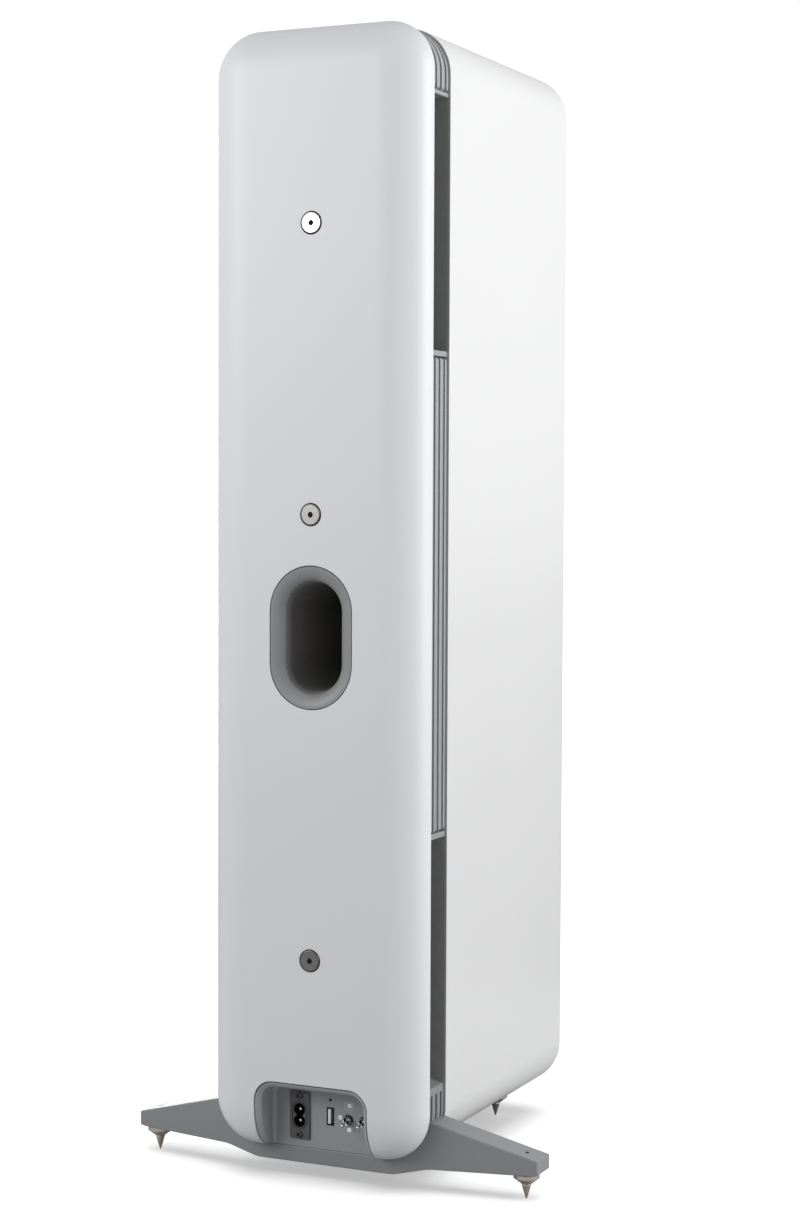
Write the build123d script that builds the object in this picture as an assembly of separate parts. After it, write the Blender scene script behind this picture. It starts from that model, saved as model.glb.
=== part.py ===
from build123d import *
import os
from math import cos, radians, sin

# Floorstanding active speaker: a tall rounded cabinet, a separate rear cover held off it by a
# finned spacer, two woofers that radiate into the gap, and an outrigger base on four spikes.
# Millimetres. Origin on the floor under the middle of the object, +Z up, the front faces -Y
# and the connection panel faces +Y.

os.makedirs("parts", exist_ok=True)

# Outer form
WIDTH = 173.0
TOP_Z = 846.0
BOTTOM_Z = 23.0
HEIGHT = TOP_Z - BOTTOM_Z
MID_Z = (TOP_Z + BOTTOM_Z) / 2
HALF = WIDTH / 2
CORNER_R = 35.5
FRONT_Y = -148.0
CABINET_REAR_Y = 96.5
GAP_REAR_Y = 124.5
COVER_FRONT_Y = 125.5
REAR_Y = 148.0

# Cabinet
WALL = 12.0
SLEEVE_FRONT_Y = -146.0
FRONT_EDGE_R = 11.0
BAFFLE_FRONT_Y = -138.0
FRONT_BAFFLE_T = 18.0
REAR_BAFFLE_T = 15.0
FRONT_BAFFLE_BACK_Y = BAFFLE_FRONT_Y + FRONT_BAFFLE_T
REAR_BAFFLE_FRONT_Y = CABINET_REAR_Y - REAR_BAFFLE_T
REBATE_INSET = 2.2
REBATE_Y = 95.3
BRACE_T = 12.0
BRACE_ZS = (282.0, 588.0)

# Finned spacer between cabinet and cover
SPACER_INSET = 2.0
SPACER_WALL = 12.0
GROOVE_YS = (100.9, 109.25, 117.6)
GROOVE_W = 3.2
GROOVE_DEPTH = 5.0
FIN_END_R = 3.0
SEAM = 0.6
WINDOW_LOW = (76.2, 258.5)
WINDOW_HIGH = (612.0, 794.0)
END_PLATE_T = 4.2
ARCH_PLATE_T = 3.2
SHOULDER_RISE = 2.8
GROOVE_RUN_OUT = 12.0

# Rear cover
COVER_WALL = 4.0
COVER_EDGE_RUN = 34.5
COVER_EDGE_RISE = 22.3
COVER_BOSS_R = 13.0
COVER_BOSS_Y = 136.0
BOLT_ZS = (168.3, 493.5, 703.0)
BOLT_HEAD_R = 8.0
BOLT_RECESS_R = 8.5
BOLT_SEAT_Y = 142.0
BOLT_PROUD = 0.6
M8_R = 4.0
THREAD_GAP = 0.05

# Reflex port
PORT_Z = 404.25
PORT_W = 66.0
PORT_H = 104.3
PORT_GAP = 0.4
THROAT_W = 42.0
THROAT_H = 80.0
FLARE_R = 11.6
TUBE_WALL = 3.0
FLARE_BACK_Y = 118.0
TUBE_INNER_Y = -10.0

# Connection panel
PANEL_Y = 124.0
PANEL_T = 2.5
CUTOUT_HALF = 46.4
CUTOUT_TOP_Z = 76.1
CUTOUT_R = 15.5
LIP_GAP = 0.35
LIP_W = 4.0
LIP_BEVEL = 3.0
LIP_RECESS = 0.7
INLET_X = 19.6
INLET_Z = 47.0
INLET_PLATE = (16.5, 35.8)
INLET_PLATE_T = 1.5
PIN_PITCH = 8.6
PIN_R = 1.2
SOCKET_R = 4.2
SOCKET_NECK = 5.2
SOCKET_DEPTH = 12.0
INLET_SCREW_PITCH = 29.0
USB_X = -5.3
USB_Z = 48.4
USB_SIZE = (5.7, 13.1)
USB_WALL = 0.4
SETUP_HOLE = (-5.2, 60.7)
TOGGLE_XS = {"placement": -20.2, "channel": -33.0}
TOGGLE_Z = 47.6
TOGGLE_BUSH_R = 3.0
TOGGLE_BORE_R = 2.3
TOGGLE_PIVOT_Y = 125.5
TOGGLE_LENGTH = 9.0
TOGGLE_THROW = 13.0

# Outrigger base
ARM_TIP_X = 165.0
ARM_TIP_Z = (20.0, 30.6)
ARM_ROOT_Z = 52.0
ARM_UNDER_Z = (17.3, 19.2)
CRADLE_UNDER_Z = 11.0
CRADLE_BENDS = (56.0, 83.0)
CRADLE_REAR_Y = 124.0
CRADLE_INNER_X = 46.8
TIP_YS = (87.7, 111.8)
BASE_BOLTS = ((54.0, 41.5), (66.0, 47.5))

# Spikes
SPIKES = {
    "spike_rear_left": (152.8, 102.0),
    "spike_rear_right": (-152.8, 102.0),
    "spike_front_left": (43.5, -103.5),
    "spike_front_right": (-43.5, -103.5),
}
CONE_H = 10.8
CONE_R = 3.7
TIP_R = 0.5
COLLAR_R = 9.6
COLLAR_RIM_Z = 15.6
COLLAR_TOP_Z = 18.6
SLEEVE_TOP_Z = 27.0
SLEEVE_R = 5.0
M6_R = 3.0
SHANK_TOP_Z = 26.0
KEY_HOLE_R = 1.6
FOOT_R = 12.0

# Drivers
BMR_ZS = {"upper": 776.0, "lower": 680.0}
BMR_FRAME = 84.0
BMR_FRAME_T = 4.0
BMR_CONE_R = 27.5
BMR_OUTER_R = 33.0
WOOFER_ZS = {"upper": 703.0, "lower": 168.3}
WOOFER_FRAME_R = 59.0
WOOFER_HOLE_R = 51.5
WOOFER_SEAT_T = 4.0
CONE_OUTER_R = 42.0
SURROUND_OUTER_R = 50.5
BRACKET_HALF = 66.0
BRACKET_W = 14.0
BRACKET_T = 4.0
BRACKET_BACK_Y = 116.0

# Grille
GRILLE_GAP = 0.4
GRILLE_T = 7.7
GRILLE_RIB = 11.0
CLOTH_T = 2.0
MAGNET_R = 5.0
MAGNET_T = 2.0
MAGNET_SPOTS = ((69.0, 800.0), (69.0, 434.5), (69.0, 70.0))


def along_y(face, y_low, y_high):
    """Solid from a face drawn in X and Z, between two depths."""
    return extrude(Plane.XZ.offset(-y_high) * face, amount=y_high - y_low)


def along_z(face, z_low, z_high):
    """Solid from a face drawn in X and Y, between two heights."""
    return extrude(Plane.XY.offset(z_low) * face, amount=z_high - z_low)


def outline(inset=0.0):
    """The rounded front view that the cabinet, spacer and cover share."""
    width = WIDTH - 2 * inset
    height = HEIGHT - 2 * inset
    return Pos(0, MID_Z) * RectangleRounded(width, height, CORNER_R - inset)


def rect(x_low, x_high, z_low, z_high):
    """A rectangle in X and Z given by its sides."""
    centre = Pos((x_low + x_high) / 2, (z_low + z_high) / 2)
    return centre * Rectangle(x_high - x_low, z_high - z_low)


def stadium(width, height, z):
    """An upright slot shape on the centre line."""
    return Pos(0, z) * RectangleRounded(width, height, width / 2 - 0.01)


def rod(x, z, radius, y_low, y_high):
    """A round bar along Y."""
    return along_y(Pos(x, z) * Circle(radius), y_low, y_high)


def turned(profile, x, z):
    """A body of revolution about the Y line through x, z. The profile is drawn in radius and Y."""
    placed = Plane.XY.offset(z) * Pos(x, 0) * profile
    return revolve(placed, Axis((x, 0, z), (0, 1, 0)))


def upright(points, x, y):
    """A body of revolution about the vertical through x, y. Points are radius and Z."""
    plane = Plane(origin=(x, y, 0), x_dir=(1, 0, 0), z_dir=(0, -1, 0))
    placed = plane * make_face(Polyline(*points, close=True))
    return revolve(placed, Axis((x, y, 0), (0, 0, 1)))


def outlined(points):
    """A face from its corner points."""
    return make_face(Polyline(*points, close=True))


def half_roll(r_in, r_out, y, sheet, towards):
    """Section of a half-round rubber surround. towards is the side it bulges to."""
    middle = (r_in + r_out) / 2
    rise = (r_out - r_in) / 2
    outer = ThreePointArc((r_in, y), (middle, y + towards * rise), (r_out, y))
    inner_in = r_in + sheet
    inner_out = r_out - sheet
    inner = ThreePointArc((inner_in, y), (middle, y + towards * (rise - sheet)), (inner_out, y))
    left = Line((r_in, y), (inner_in, y))
    right = Line((inner_out, y), (r_out, y))
    return make_face(outer + right + inner + left)


def both_sides(part):
    """The part and its mirror image in the plane X = 0."""
    return part + mirror(part, about=Plane.YZ)


def write(name, *pieces):
    """Write one node. Several pieces stay separate solids."""
    solids = [solid for piece in pieces for solid in piece.solids()]
    shape = solids[0] if len(solids) == 1 else Compound(children=solids)
    shape.label = name
    export_step(shape, f"parts/{name}.step")


# Cabinet


def cabinet_sleeve():
    body = along_y(outline(), SLEEVE_FRONT_Y, CABINET_REAR_Y)
    front = body.faces().sort_by(Axis.Y)[0]
    body = fillet(front.edges(), FRONT_EDGE_R)
    body -= along_y(outline(WALL), SLEEVE_FRONT_Y, CABINET_REAR_Y)
    body -= along_y(outline(REBATE_INSET), REBATE_Y, CABINET_REAR_Y)
    for name in ("spike_front_left", "spike_front_right"):
        x, y = SPIKES[name]
        body -= along_z(Pos(x, y) * Circle(SLEEVE_R), BOTTOM_Z, SLEEVE_TOP_Z + 1)
    return body


def magnet_spots():
    return [(side * x, z) for x, z in MAGNET_SPOTS for side in (-1, 1)]


def front_baffle():
    body = along_y(outline(WALL), BAFFLE_FRONT_Y, FRONT_BAFFLE_BACK_Y)
    for z in BMR_ZS.values():
        seat = Pos(0, z) * RectangleRounded(BMR_FRAME, BMR_FRAME, 12)
        body -= along_y(seat, BAFFLE_FRONT_Y, BAFFLE_FRONT_Y + BMR_FRAME_T)
        body -= rod(0, z, BMR_OUTER_R + 3.5, BAFFLE_FRONT_Y, FRONT_BAFFLE_BACK_Y)
        for x_side in (-1, 1):
            for z_side in (-1, 1):
                spot = (x_side * 34.5, z + z_side * 34.5)
                body -= rod(*spot, 1.5, BAFFLE_FRONT_Y, BAFFLE_FRONT_Y + 14)
    for x, z in magnet_spots():
        body -= rod(x, z, MAGNET_R, BAFFLE_FRONT_Y, BAFFLE_FRONT_Y + MAGNET_T)
    return body


def woofer_screw_spots(z):
    reach = 55.0 * cos(radians(45))
    return [(a * reach, z + b * reach) for a in (-1, 1) for b in (-1, 1)]


def bracket_screw_spots(z):
    return [(0.0, z - BRACKET_HALF - 5.0), (0.0, z + BRACKET_HALF + 5.0)]


def rear_baffle():
    body = along_y(outline(WALL), REAR_BAFFLE_FRONT_Y, REBATE_Y)
    body += along_y(outline(REBATE_INSET), REBATE_Y, CABINET_REAR_Y)
    for z in WOOFER_ZS.values():
        body -= rod(0, z, WOOFER_HOLE_R, REAR_BAFFLE_FRONT_Y, CABINET_REAR_Y)
        for spot in woofer_screw_spots(z) + bracket_screw_spots(z):
            body -= rod(*spot, 1.5, CABINET_REAR_Y - 12, CABINET_REAR_Y)
    tube = stadium(THROAT_W + 2 * TUBE_WALL, THROAT_H + 2 * TUBE_WALL, PORT_Z)
    body -= along_y(tube, REAR_BAFFLE_FRONT_Y, CABINET_REAR_Y)
    body -= rod(0, BOLT_ZS[1], M6_R, CABINET_REAR_Y - 10, CABINET_REAR_Y)
    for x, z in BASE_BOLTS:
        body -= both_sides(rod(x, z, M6_R, REAR_BAFFLE_FRONT_Y, CABINET_REAR_Y))
    return body


def brace(z):
    width = WIDTH - 2 * WALL
    depth = REAR_BAFFLE_FRONT_Y - FRONT_BAFFLE_BACK_Y
    centre = Pos(0, (REAR_BAFFLE_FRONT_Y + FRONT_BAFFLE_BACK_Y) / 2)
    plate = along_z(centre * Rectangle(width, depth), z - BRACE_T / 2, z + BRACE_T / 2)
    window = centre * RectangleRounded(width - 50, depth - 60, 20)
    return plate - along_z(window, z - BRACE_T / 2, z + BRACE_T / 2)


def wadding_pad(side):
    inner = HALF - WALL
    x = side * (inner - 9)
    pad = Pos(x, -20, 435) * Box(16, 160, 250)
    return fillet(pad.edges(), 5)


# Finned spacer


def grooved(body):
    """Cut the three grooves that leave four fins on the outer face of a spacer piece."""
    rim = outline(SPACER_INSET - 1) - outline(SPACER_INSET + GROOVE_DEPTH)
    for y in GROOVE_YS:
        body -= along_y(rim, y - GROOVE_W / 2, y + GROOVE_W / 2)
    return body


def spacer_ring():
    face = outline(SPACER_INSET) - outline(SPACER_INSET + SPACER_WALL)
    return along_y(face, CABINET_REAR_Y, GAP_REAR_Y)


def between(z_low, z_high, x_low=-HALF, x_high=HALF):
    """A block as deep as the gap, used to cut a stretch out of the spacer ring."""
    return along_y(rect(x_low, x_high, z_low, z_high), CABINET_REAR_Y, GAP_REAR_Y)


def outer_end_edges(body, z):
    """The outermost edge that a spacer piece has at one height, along Y."""
    flat = [e for e in body.edges().filter_by(Axis.Y) if abs(e.center().Z - z) < 0.01]
    reach = max(abs(e.center().X) for e in flat)
    return [e for e in flat if abs(e.center().X) > reach - 0.01]


def spacer_arch():
    low = WINDOW_HIGH[1] + ARCH_PLATE_T + SEAM
    body = spacer_ring() & between(low, TOP_Z)
    body = fillet(outer_end_edges(body, low), FIN_END_R)
    return grooved(body)


def heatsink(side):
    low = WINDOW_LOW[1] + END_PLATE_T + SEAM
    high = WINDOW_HIGH[0] - END_PLATE_T - SEAM
    span = (HALF / 2, HALF) if side > 0 else (-HALF, -HALF / 2)
    body = spacer_ring() & between(low, high, *span)
    ends = outer_end_edges(body, low) + outer_end_edges(body, high)
    return grooved(fillet(ends, FIN_END_R))


def spacer_block(side):
    """The short block that stands on the base, with a top that slopes outward."""
    outer = HALF - SPACER_INSET
    inner = outer - SPACER_WALL
    top = WINDOW_LOW[0]
    face = outlined(
        [
            (inner, ARM_ROOT_Z),
            (outer, ARM_ROOT_Z),
            (outer, top),
            (inner, top + SHOULDER_RISE),
        ]
    )
    body = along_y(face & outline(SPACER_INSET), CABINET_REAR_Y, GAP_REAR_Y)
    shoulder = outer_end_edges(body, top)
    body = fillet(shoulder, 2.0)
    groove_top = top - GROOVE_RUN_OUT
    sweep_r = HALF - outer + GROOVE_DEPTH
    for y in GROOVE_YS:
        slot = rect(outer - GROOVE_DEPTH, HALF, ARM_ROOT_Z, groove_top)
        cut = along_y(slot, y - GROOVE_W / 2, y + GROOVE_W / 2)
        run_out = Pos(HALF, y, groove_top) * Rot(90, 0, 0) * Cylinder(sweep_r, GROOVE_W)
        body -= cut + run_out
    return body if side > 0 else mirror(body, about=Plane.YZ)


def window_end_plates():
    outer = HALF - SPACER_INSET
    inner = outer - SPACER_WALL
    spans = (
        (WINDOW_LOW[1], WINDOW_LOW[1] + END_PLATE_T),
        (WINDOW_HIGH[0] - END_PLATE_T, WINDOW_HIGH[0]),
        (WINDOW_HIGH[1], WINDOW_HIGH[1] + ARCH_PLATE_T),
    )
    plates = []
    for low, high in spans:
        plate = along_y(rect(inner, outer, low, high), CABINET_REAR_Y, GAP_REAR_Y)
        plate = chamfer(plate.edges().filter_by(Axis.Y).sort_by(Axis.X)[-2:], 0.5)
        plates += [plate, mirror(plate, about=Plane.YZ)]
    return plates


# Rear cover and its fixings


def cover_section(reach, inset):
    """Half section of the cover, from a middle line out to its rounded rim, in distance and Y."""
    rim = reach + CORNER_R - inset
    run = COVER_EDGE_RUN - inset
    rise = COVER_EDGE_RISE - inset
    shoulder_y = REAR_Y - COVER_EDGE_RISE
    bend = EllipticalCenterArc((rim - run, shoulder_y), run, rise, arc_size=90)
    rest = Polyline(
        (rim - run, REAR_Y - inset),
        (0, REAR_Y - inset),
        (0, COVER_FRONT_Y - inset),
        (rim, COVER_FRONT_Y - inset),
        (rim, shoulder_y),
    )
    return make_face(bend + rest)


def cover_form(inset=0.0):
    """The pillow-shaped outer form of the cover, or the same form drawn in all round."""
    corner_x = HALF - CORNER_R
    corner_up = HEIGHT / 2 - CORNER_R
    wide = extrude(Plane.XY.offset(MID_Z) * cover_section(corner_x, inset), amount=corner_up)
    end_plane = Plane(origin=(corner_x, 0, MID_Z), x_dir=(0, 0, 1), z_dir=(-1, 0, 0))
    tall = extrude(end_plane * cover_section(corner_up, inset), amount=corner_x)
    ball = turned(cover_section(0, inset), corner_x, MID_Z + corner_up)
    corner_room = rect(corner_x, HALF, MID_Z + corner_up, TOP_Z)
    quarter = wide + tall + (ball & along_y(corner_room, COVER_FRONT_Y - inset, REAR_Y))
    half = both_sides(quarter)
    return half + mirror(half, about=Plane.XY.offset(MID_Z))


def cutout(half, top, radius):
    """Arched opening at the foot of the cover, open below."""
    face = rect(-half, half, 0, top)
    corners = [v for v in face.vertices() if v.Y > top - 1]
    return fillet(corners, radius)


def rear_cover():
    body = cover_form() - cover_form(COVER_WALL)
    for z in BOLT_ZS:
        body += rod(0, z, COVER_BOSS_R, COVER_BOSS_Y, REAR_Y - COVER_WALL + 0.5)
        body -= rod(0, z, BOLT_RECESS_R, BOLT_SEAT_Y, REAR_Y)
        body -= rod(0, z, M8_R + 0.3, COVER_BOSS_Y, REAR_Y)
    opening = stadium(PORT_W + 2 * PORT_GAP, PORT_H + 2 * PORT_GAP, PORT_Z)
    body -= along_y(opening, COVER_FRONT_Y, REAR_Y)
    foot = cutout(CUTOUT_HALF, CUTOUT_TOP_Z, CUTOUT_R)
    body -= along_y(foot, COVER_FRONT_Y, REAR_Y)
    return body


def cover_bolt(z):
    head = rod(0, z, BOLT_HEAD_R, BOLT_SEAT_Y, REAR_Y + BOLT_PROUD)
    rim = head.edges().filter_by(GeomType.CIRCLE).sort_by(Axis.Y)[-1]
    head = fillet(rim, 1.2)
    socket = Pos(0, z) * RegularPolygon(2.0, 6, major_radius=False)
    head -= along_y(socket, REAR_Y + BOLT_PROUD - 4, REAR_Y + BOLT_PROUD)
    return head + rod(0, z, M8_R, BOLT_SEAT_Y - 20, BOLT_SEAT_Y)


def cover_standoff(z, foot_y):
    post = rod(0, z, 7.5, foot_y, COVER_BOSS_Y)
    post -= rod(0, z, M8_R + THREAD_GAP, max(foot_y, COVER_BOSS_Y - 16), COVER_BOSS_Y)
    return post


def middle_standoff():
    z = BOLT_ZS[1]
    stud = rod(0, z, M6_R - THREAD_GAP, CABINET_REAR_Y - 9, CABINET_REAR_Y)
    return cover_standoff(z, CABINET_REAR_Y) + stud


def cover_bracket(z):
    """A strap that straddles a woofer and carries one of the cover's fixings."""
    outer = BRACKET_HALF + 10
    face = outlined(
        [
            (CABINET_REAR_Y, z - outer),
            (CABINET_REAR_Y + BRACKET_T, z - outer),
            (CABINET_REAR_Y + BRACKET_T, z - BRACKET_HALF),
            (BRACKET_BACK_Y, z - BRACKET_HALF + 3),
            (BRACKET_BACK_Y, z + BRACKET_HALF - 3),
            (CABINET_REAR_Y + BRACKET_T, z + BRACKET_HALF),
            (CABINET_REAR_Y + BRACKET_T, z + outer),
            (CABINET_REAR_Y, z + outer),
            (CABINET_REAR_Y, z + BRACKET_HALF - BRACKET_T),
            (BRACKET_BACK_Y - BRACKET_T, z + BRACKET_HALF - BRACKET_T - 3),
            (BRACKET_BACK_Y - BRACKET_T, z - BRACKET_HALF + BRACKET_T + 3),
            (CABINET_REAR_Y, z - BRACKET_HALF + BRACKET_T),
        ]
    )
    body = extrude(Plane.YZ.offset(-BRACKET_W / 2) * face, amount=BRACKET_W)
    for spot in bracket_screw_spots(z):
        body -= rod(*spot, 1.5, CABINET_REAR_Y, CABINET_REAR_Y + BRACKET_T)
    body -= rod(0, z, M8_R + THREAD_GAP, BRACKET_BACK_Y - BRACKET_T, BRACKET_BACK_Y)
    return body


# Reflex port


def port_flare():
    body = along_y(stadium(PORT_W, PORT_H, PORT_Z), 134.0, REAR_Y - 0.2)
    body += along_y(stadium(THROAT_W + 8, THROAT_H + 8, PORT_Z), FLARE_BACK_Y, 134.0)
    throat = along_y(stadium(THROAT_W, THROAT_H, PORT_Z), FLARE_BACK_Y, REAR_Y)
    body -= throat
    mouth = body.faces().sort_by(Axis.Y)[-1].inner_wires()[0]
    return fillet(mouth.edges(), FLARE_R)


def port_tube():
    outer = stadium(THROAT_W + 2 * TUBE_WALL, THROAT_H + 2 * TUBE_WALL, PORT_Z)
    flange = stadium(THROAT_W + 22, THROAT_H + 22, PORT_Z)
    body = along_y(outer, TUBE_INNER_Y, FLARE_BACK_Y)
    body += along_y(flange, CABINET_REAR_Y, CABINET_REAR_Y + 3)
    return body - along_y(stadium(THROAT_W, THROAT_H, PORT_Z), TUBE_INNER_Y, FLARE_BACK_Y)


# Connection panel


def io_surround():
    """The grey liner of the cover's cutout, bevelled round its mouth."""
    outer_half = CUTOUT_HALF - LIP_GAP
    outer_top = CUTOUT_TOP_Z - LIP_GAP
    outer = cutout(outer_half, outer_top, CUTOUT_R - LIP_GAP)
    inner = cutout(outer_half - LIP_W, outer_top - LIP_W, CUTOUT_R - LIP_GAP - LIP_W)
    room = along_y(rect(-HALF, HALF, BOTTOM_Z + 0.6, TOP_Z), PANEL_Y - PANEL_T, REAR_Y)
    form = cover_form(LIP_RECESS) + along_y(outline(LIP_RECESS), PANEL_Y - PANEL_T, COVER_FRONT_Y)
    body = along_y(outer, PANEL_Y - PANEL_T, REAR_Y) & form & room
    mouth = loft(
        [
            Plane.XZ.offset(-(REAR_Y - LIP_RECESS - LIP_BEVEL)) * inner,
            Plane.XZ.offset(-(REAR_Y - LIP_RECESS + 0.6))
            * cutout(outer_half - 0.4, outer_top - 0.4, CUTOUT_R - LIP_GAP - 0.4),
        ]
    )
    return body - along_y(inner, PANEL_Y - PANEL_T, REAR_Y) - mouth


def io_panel():
    half = CUTOUT_HALF - LIP_GAP - LIP_W
    face = cutout(half, CUTOUT_TOP_Z - LIP_GAP - LIP_W, CUTOUT_R - LIP_GAP - LIP_W)
    face = face & rect(-half, half, BOTTOM_Z + 0.6, TOP_Z)
    body = along_y(face, PANEL_Y - PANEL_T, PANEL_Y)
    body -= along_y(inlet_body_face(), PANEL_Y - PANEL_T, PANEL_Y)
    body -= along_y(Pos(USB_X, USB_Z) * Rectangle(*USB_SIZE), PANEL_Y - PANEL_T, PANEL_Y)
    body -= rod(*SETUP_HOLE, 1.0, PANEL_Y - PANEL_T, PANEL_Y)
    for x in TOGGLE_XS.values():
        body -= rod(x, TOGGLE_Z, TOGGLE_BUSH_R, PANEL_Y - PANEL_T, PANEL_Y)
    for spot in inlet_screw_spots():
        body -= rod(*spot, 1.3, PANEL_Y - PANEL_T, PANEL_Y)
    return body


def inlet_body_face():
    return Pos(INLET_X, INLET_Z) * RectangleRounded(14.0, 24.0, 2.0)


def inlet_screw_spots():
    return [(INLET_X, INLET_Z + side * INLET_SCREW_PITCH / 2) for side in (-1, 1)]


def pin_spots():
    return [(INLET_X, INLET_Z + side * PIN_PITCH / 2) for side in (-1, 1)]


def figure_eight():
    """The outline of the two-pole mains socket."""
    face = Pos(INLET_X, INLET_Z) * Rectangle(SOCKET_NECK, PIN_PITCH)
    for x, z in pin_spots():
        face += Pos(x, z) * Circle(SOCKET_R)
    return face


def mains_inlet():
    plate_y = PANEL_Y + INLET_PLATE_T
    plate = Pos(INLET_X, INLET_Z) * RectangleRounded(*INLET_PLATE, 1.6)
    body = along_y(plate, PANEL_Y, plate_y)
    body += along_y(inlet_body_face(), 106.0, PANEL_Y)
    rim = Pos(INLET_X, INLET_Z) * RectangleRounded(12.4, 21.0, 6.1)
    body += along_y(rim, plate_y, plate_y + 0.7)
    body -= along_y(figure_eight(), plate_y - SOCKET_DEPTH, plate_y + 0.7)
    for x, z in pin_spots():
        body -= rod(x, z, PIN_R, 106.0, plate_y - SOCKET_DEPTH)
    for spot in inlet_screw_spots():
        body -= rod(*spot, 1.3, PANEL_Y, plate_y)
    return body


def mains_pin(x, z):
    pin = rod(x, z, PIN_R, 104.0, PANEL_Y + 0.3)
    return fillet(pin.edges().filter_by(GeomType.CIRCLE).sort_by(Axis.Y)[-1], 0.8)


def inlet_screw(x, z):
    seat = PANEL_Y + INLET_PLATE_T
    head = rod(x, z, 2.7, seat, seat + 1.3)
    head = fillet(head.edges().filter_by(GeomType.CIRCLE).sort_by(Axis.Y)[-1], 0.7)
    for size in ((3.2, 0.7), (0.7, 3.2)):
        head -= along_y(Pos(x, z) * Rectangle(*size), seat + 0.6, seat + 1.3)
    return head + rod(x, z, 1.3 - THREAD_GAP, PANEL_Y - 7, seat)


def usb_shell():
    inner = (USB_SIZE[0] - 2 * USB_WALL, USB_SIZE[1] - 2 * USB_WALL)
    face = Pos(USB_X, USB_Z) * Rectangle(*USB_SIZE)
    body = along_y(face, 109.0, PANEL_Y + 0.4)
    return body - along_y(Pos(USB_X, USB_Z) * Rectangle(*inner), 110.0, PANEL_Y + 0.4)


def usb_tongue():
    face = Pos(USB_X + 0.9, USB_Z) * Rectangle(2.2, 11.0)
    return along_y(face, 110.0, PANEL_Y - 0.8)


def toggle_body(x):
    case = along_y(Pos(x, TOGGLE_Z) * RectangleRounded(8.0, 12.8, 0.8), 109.0, PANEL_Y - PANEL_T)
    bush = rod(x, TOGGLE_Z, TOGGLE_BUSH_R, PANEL_Y - PANEL_T, PANEL_Y + 4.4)
    bush = fillet(bush.edges().filter_by(GeomType.CIRCLE).sort_by(Axis.Y)[-1], 0.4)
    return case + bush - rod(x, TOGGLE_Z, TOGGLE_BORE_R, 121.0, PANEL_Y + 5)


def toggle_lever(x):
    """Tapered lever with a ball at its pivot and at its tip, thrown down at rest."""
    stem = Pos(0, 0, TOGGLE_LENGTH / 2) * Cone(0.8, 1.1, TOGGLE_LENGTH)
    lever = stem + Sphere(1.6) + Pos(0, 0, TOGGLE_LENGTH) * Sphere(1.5)
    return Pos(x, TOGGLE_PIVOT_Y, TOGGLE_Z) * Rot(-90 - TOGGLE_THROW, 0, 0) * lever


def toggle_nut(x):
    face = Pos(x, TOGGLE_Z) * RegularPolygon(3.5, 6, major_radius=False)
    nut = along_y(face, PANEL_Y, PANEL_Y + 1.6)
    return nut - rod(x, TOGGLE_Z, TOGGLE_BUSH_R + THREAD_GAP, PANEL_Y, PANEL_Y + 1.6)


def setup_button():
    """Recessed button that a pin reaches through the small hole."""
    x, z = SETUP_HOLE
    return rod(x, z, 0.7, 119.6, PANEL_Y - 1.0) + rod(x, z, 1.6, 118.8, 120.4)


def setup_switch():
    x, z = SETUP_HOLE
    case = along_y(Pos(x, z) * Rectangle(6.0, 6.0), 114.8, 118.2)
    return case


# Outrigger base


def mirrored_face(half_points):
    """A face symmetric about X = 0 from the points of its +X half, listed from axis to axis."""
    other = [(-x, z) for x, z in reversed(half_points) if x > 0]
    return outlined(half_points + other)


def base_bar():
    front_view = mirrored_face(
        [
            (0.0, CRADLE_UNDER_Z),
            (CRADLE_BENDS[0], CRADLE_UNDER_Z),
            (CRADLE_BENDS[1], ARM_UNDER_Z[0]),
            (161.0, ARM_UNDER_Z[1]),
            (ARM_TIP_X, ARM_TIP_Z[0]),
            (ARM_TIP_X, ARM_TIP_Z[1]),
            (HALF, ARM_ROOT_Z),
            (CRADLE_INNER_X, ARM_ROOT_Z),
            (CRADLE_INNER_X, BOTTOM_Z),
            (0.0, BOTTOM_Z),
        ]
    )
    bends = [v for v in front_view.vertices() if v.Y < ARM_UNDER_Z[1] and 40 < abs(v.X) < 90]
    front_view = fillet(bends, 45)
    plan = mirrored_face(
        [
            (0.0, CABINET_REAR_Y),
            (HALF, CABINET_REAR_Y),
            (ARM_TIP_X, TIP_YS[0]),
            (ARM_TIP_X, TIP_YS[1]),
            (57.4, CRADLE_REAR_Y),
            (0.0, CRADLE_REAR_Y),
        ]
    )
    body = along_y(front_view, TIP_YS[0] - 5, CRADLE_REAR_Y + 5) & along_z(plan, 0, ARM_ROOT_Z + 5)
    tips = [e for e in body.edges() if abs(e.center().X) > ARM_TIP_X - 0.1]
    body = fillet([e for e in tips if abs((e % 0.5).Z) > 0.9], 2.5)
    tops = [e for e in body.edges() if HALF < abs(e.center().X) and e.center().Z > 29]
    body = fillet(tops, 1.2)
    for x, z in BASE_BOLTS:
        hole = rod(x, z, M6_R, CABINET_REAR_Y, CRADLE_REAR_Y)
        body -= both_sides(hole + rod(x, z, 5.2, CRADLE_REAR_Y - 6, CRADLE_REAR_Y + 1))
    for name in ("spike_rear_left", "spike_rear_right"):
        x, y = SPIKES[name]
        body += along_z(Pos(x, y) * Circle(COLLAR_R), COLLAR_TOP_Z, COLLAR_TOP_Z + 3)
        body -= along_z(Pos(x, y) * Circle(COLLAR_R + 0.2), CRADLE_UNDER_Z, COLLAR_TOP_Z)
        body -= along_z(Pos(x, y) * Circle(SLEEVE_R), COLLAR_TOP_Z, SLEEVE_TOP_Z)
        body -= along_z(Pos(x, y) * Circle(KEY_HOLE_R), SLEEVE_TOP_Z, ARM_ROOT_Z)
    return body


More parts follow.
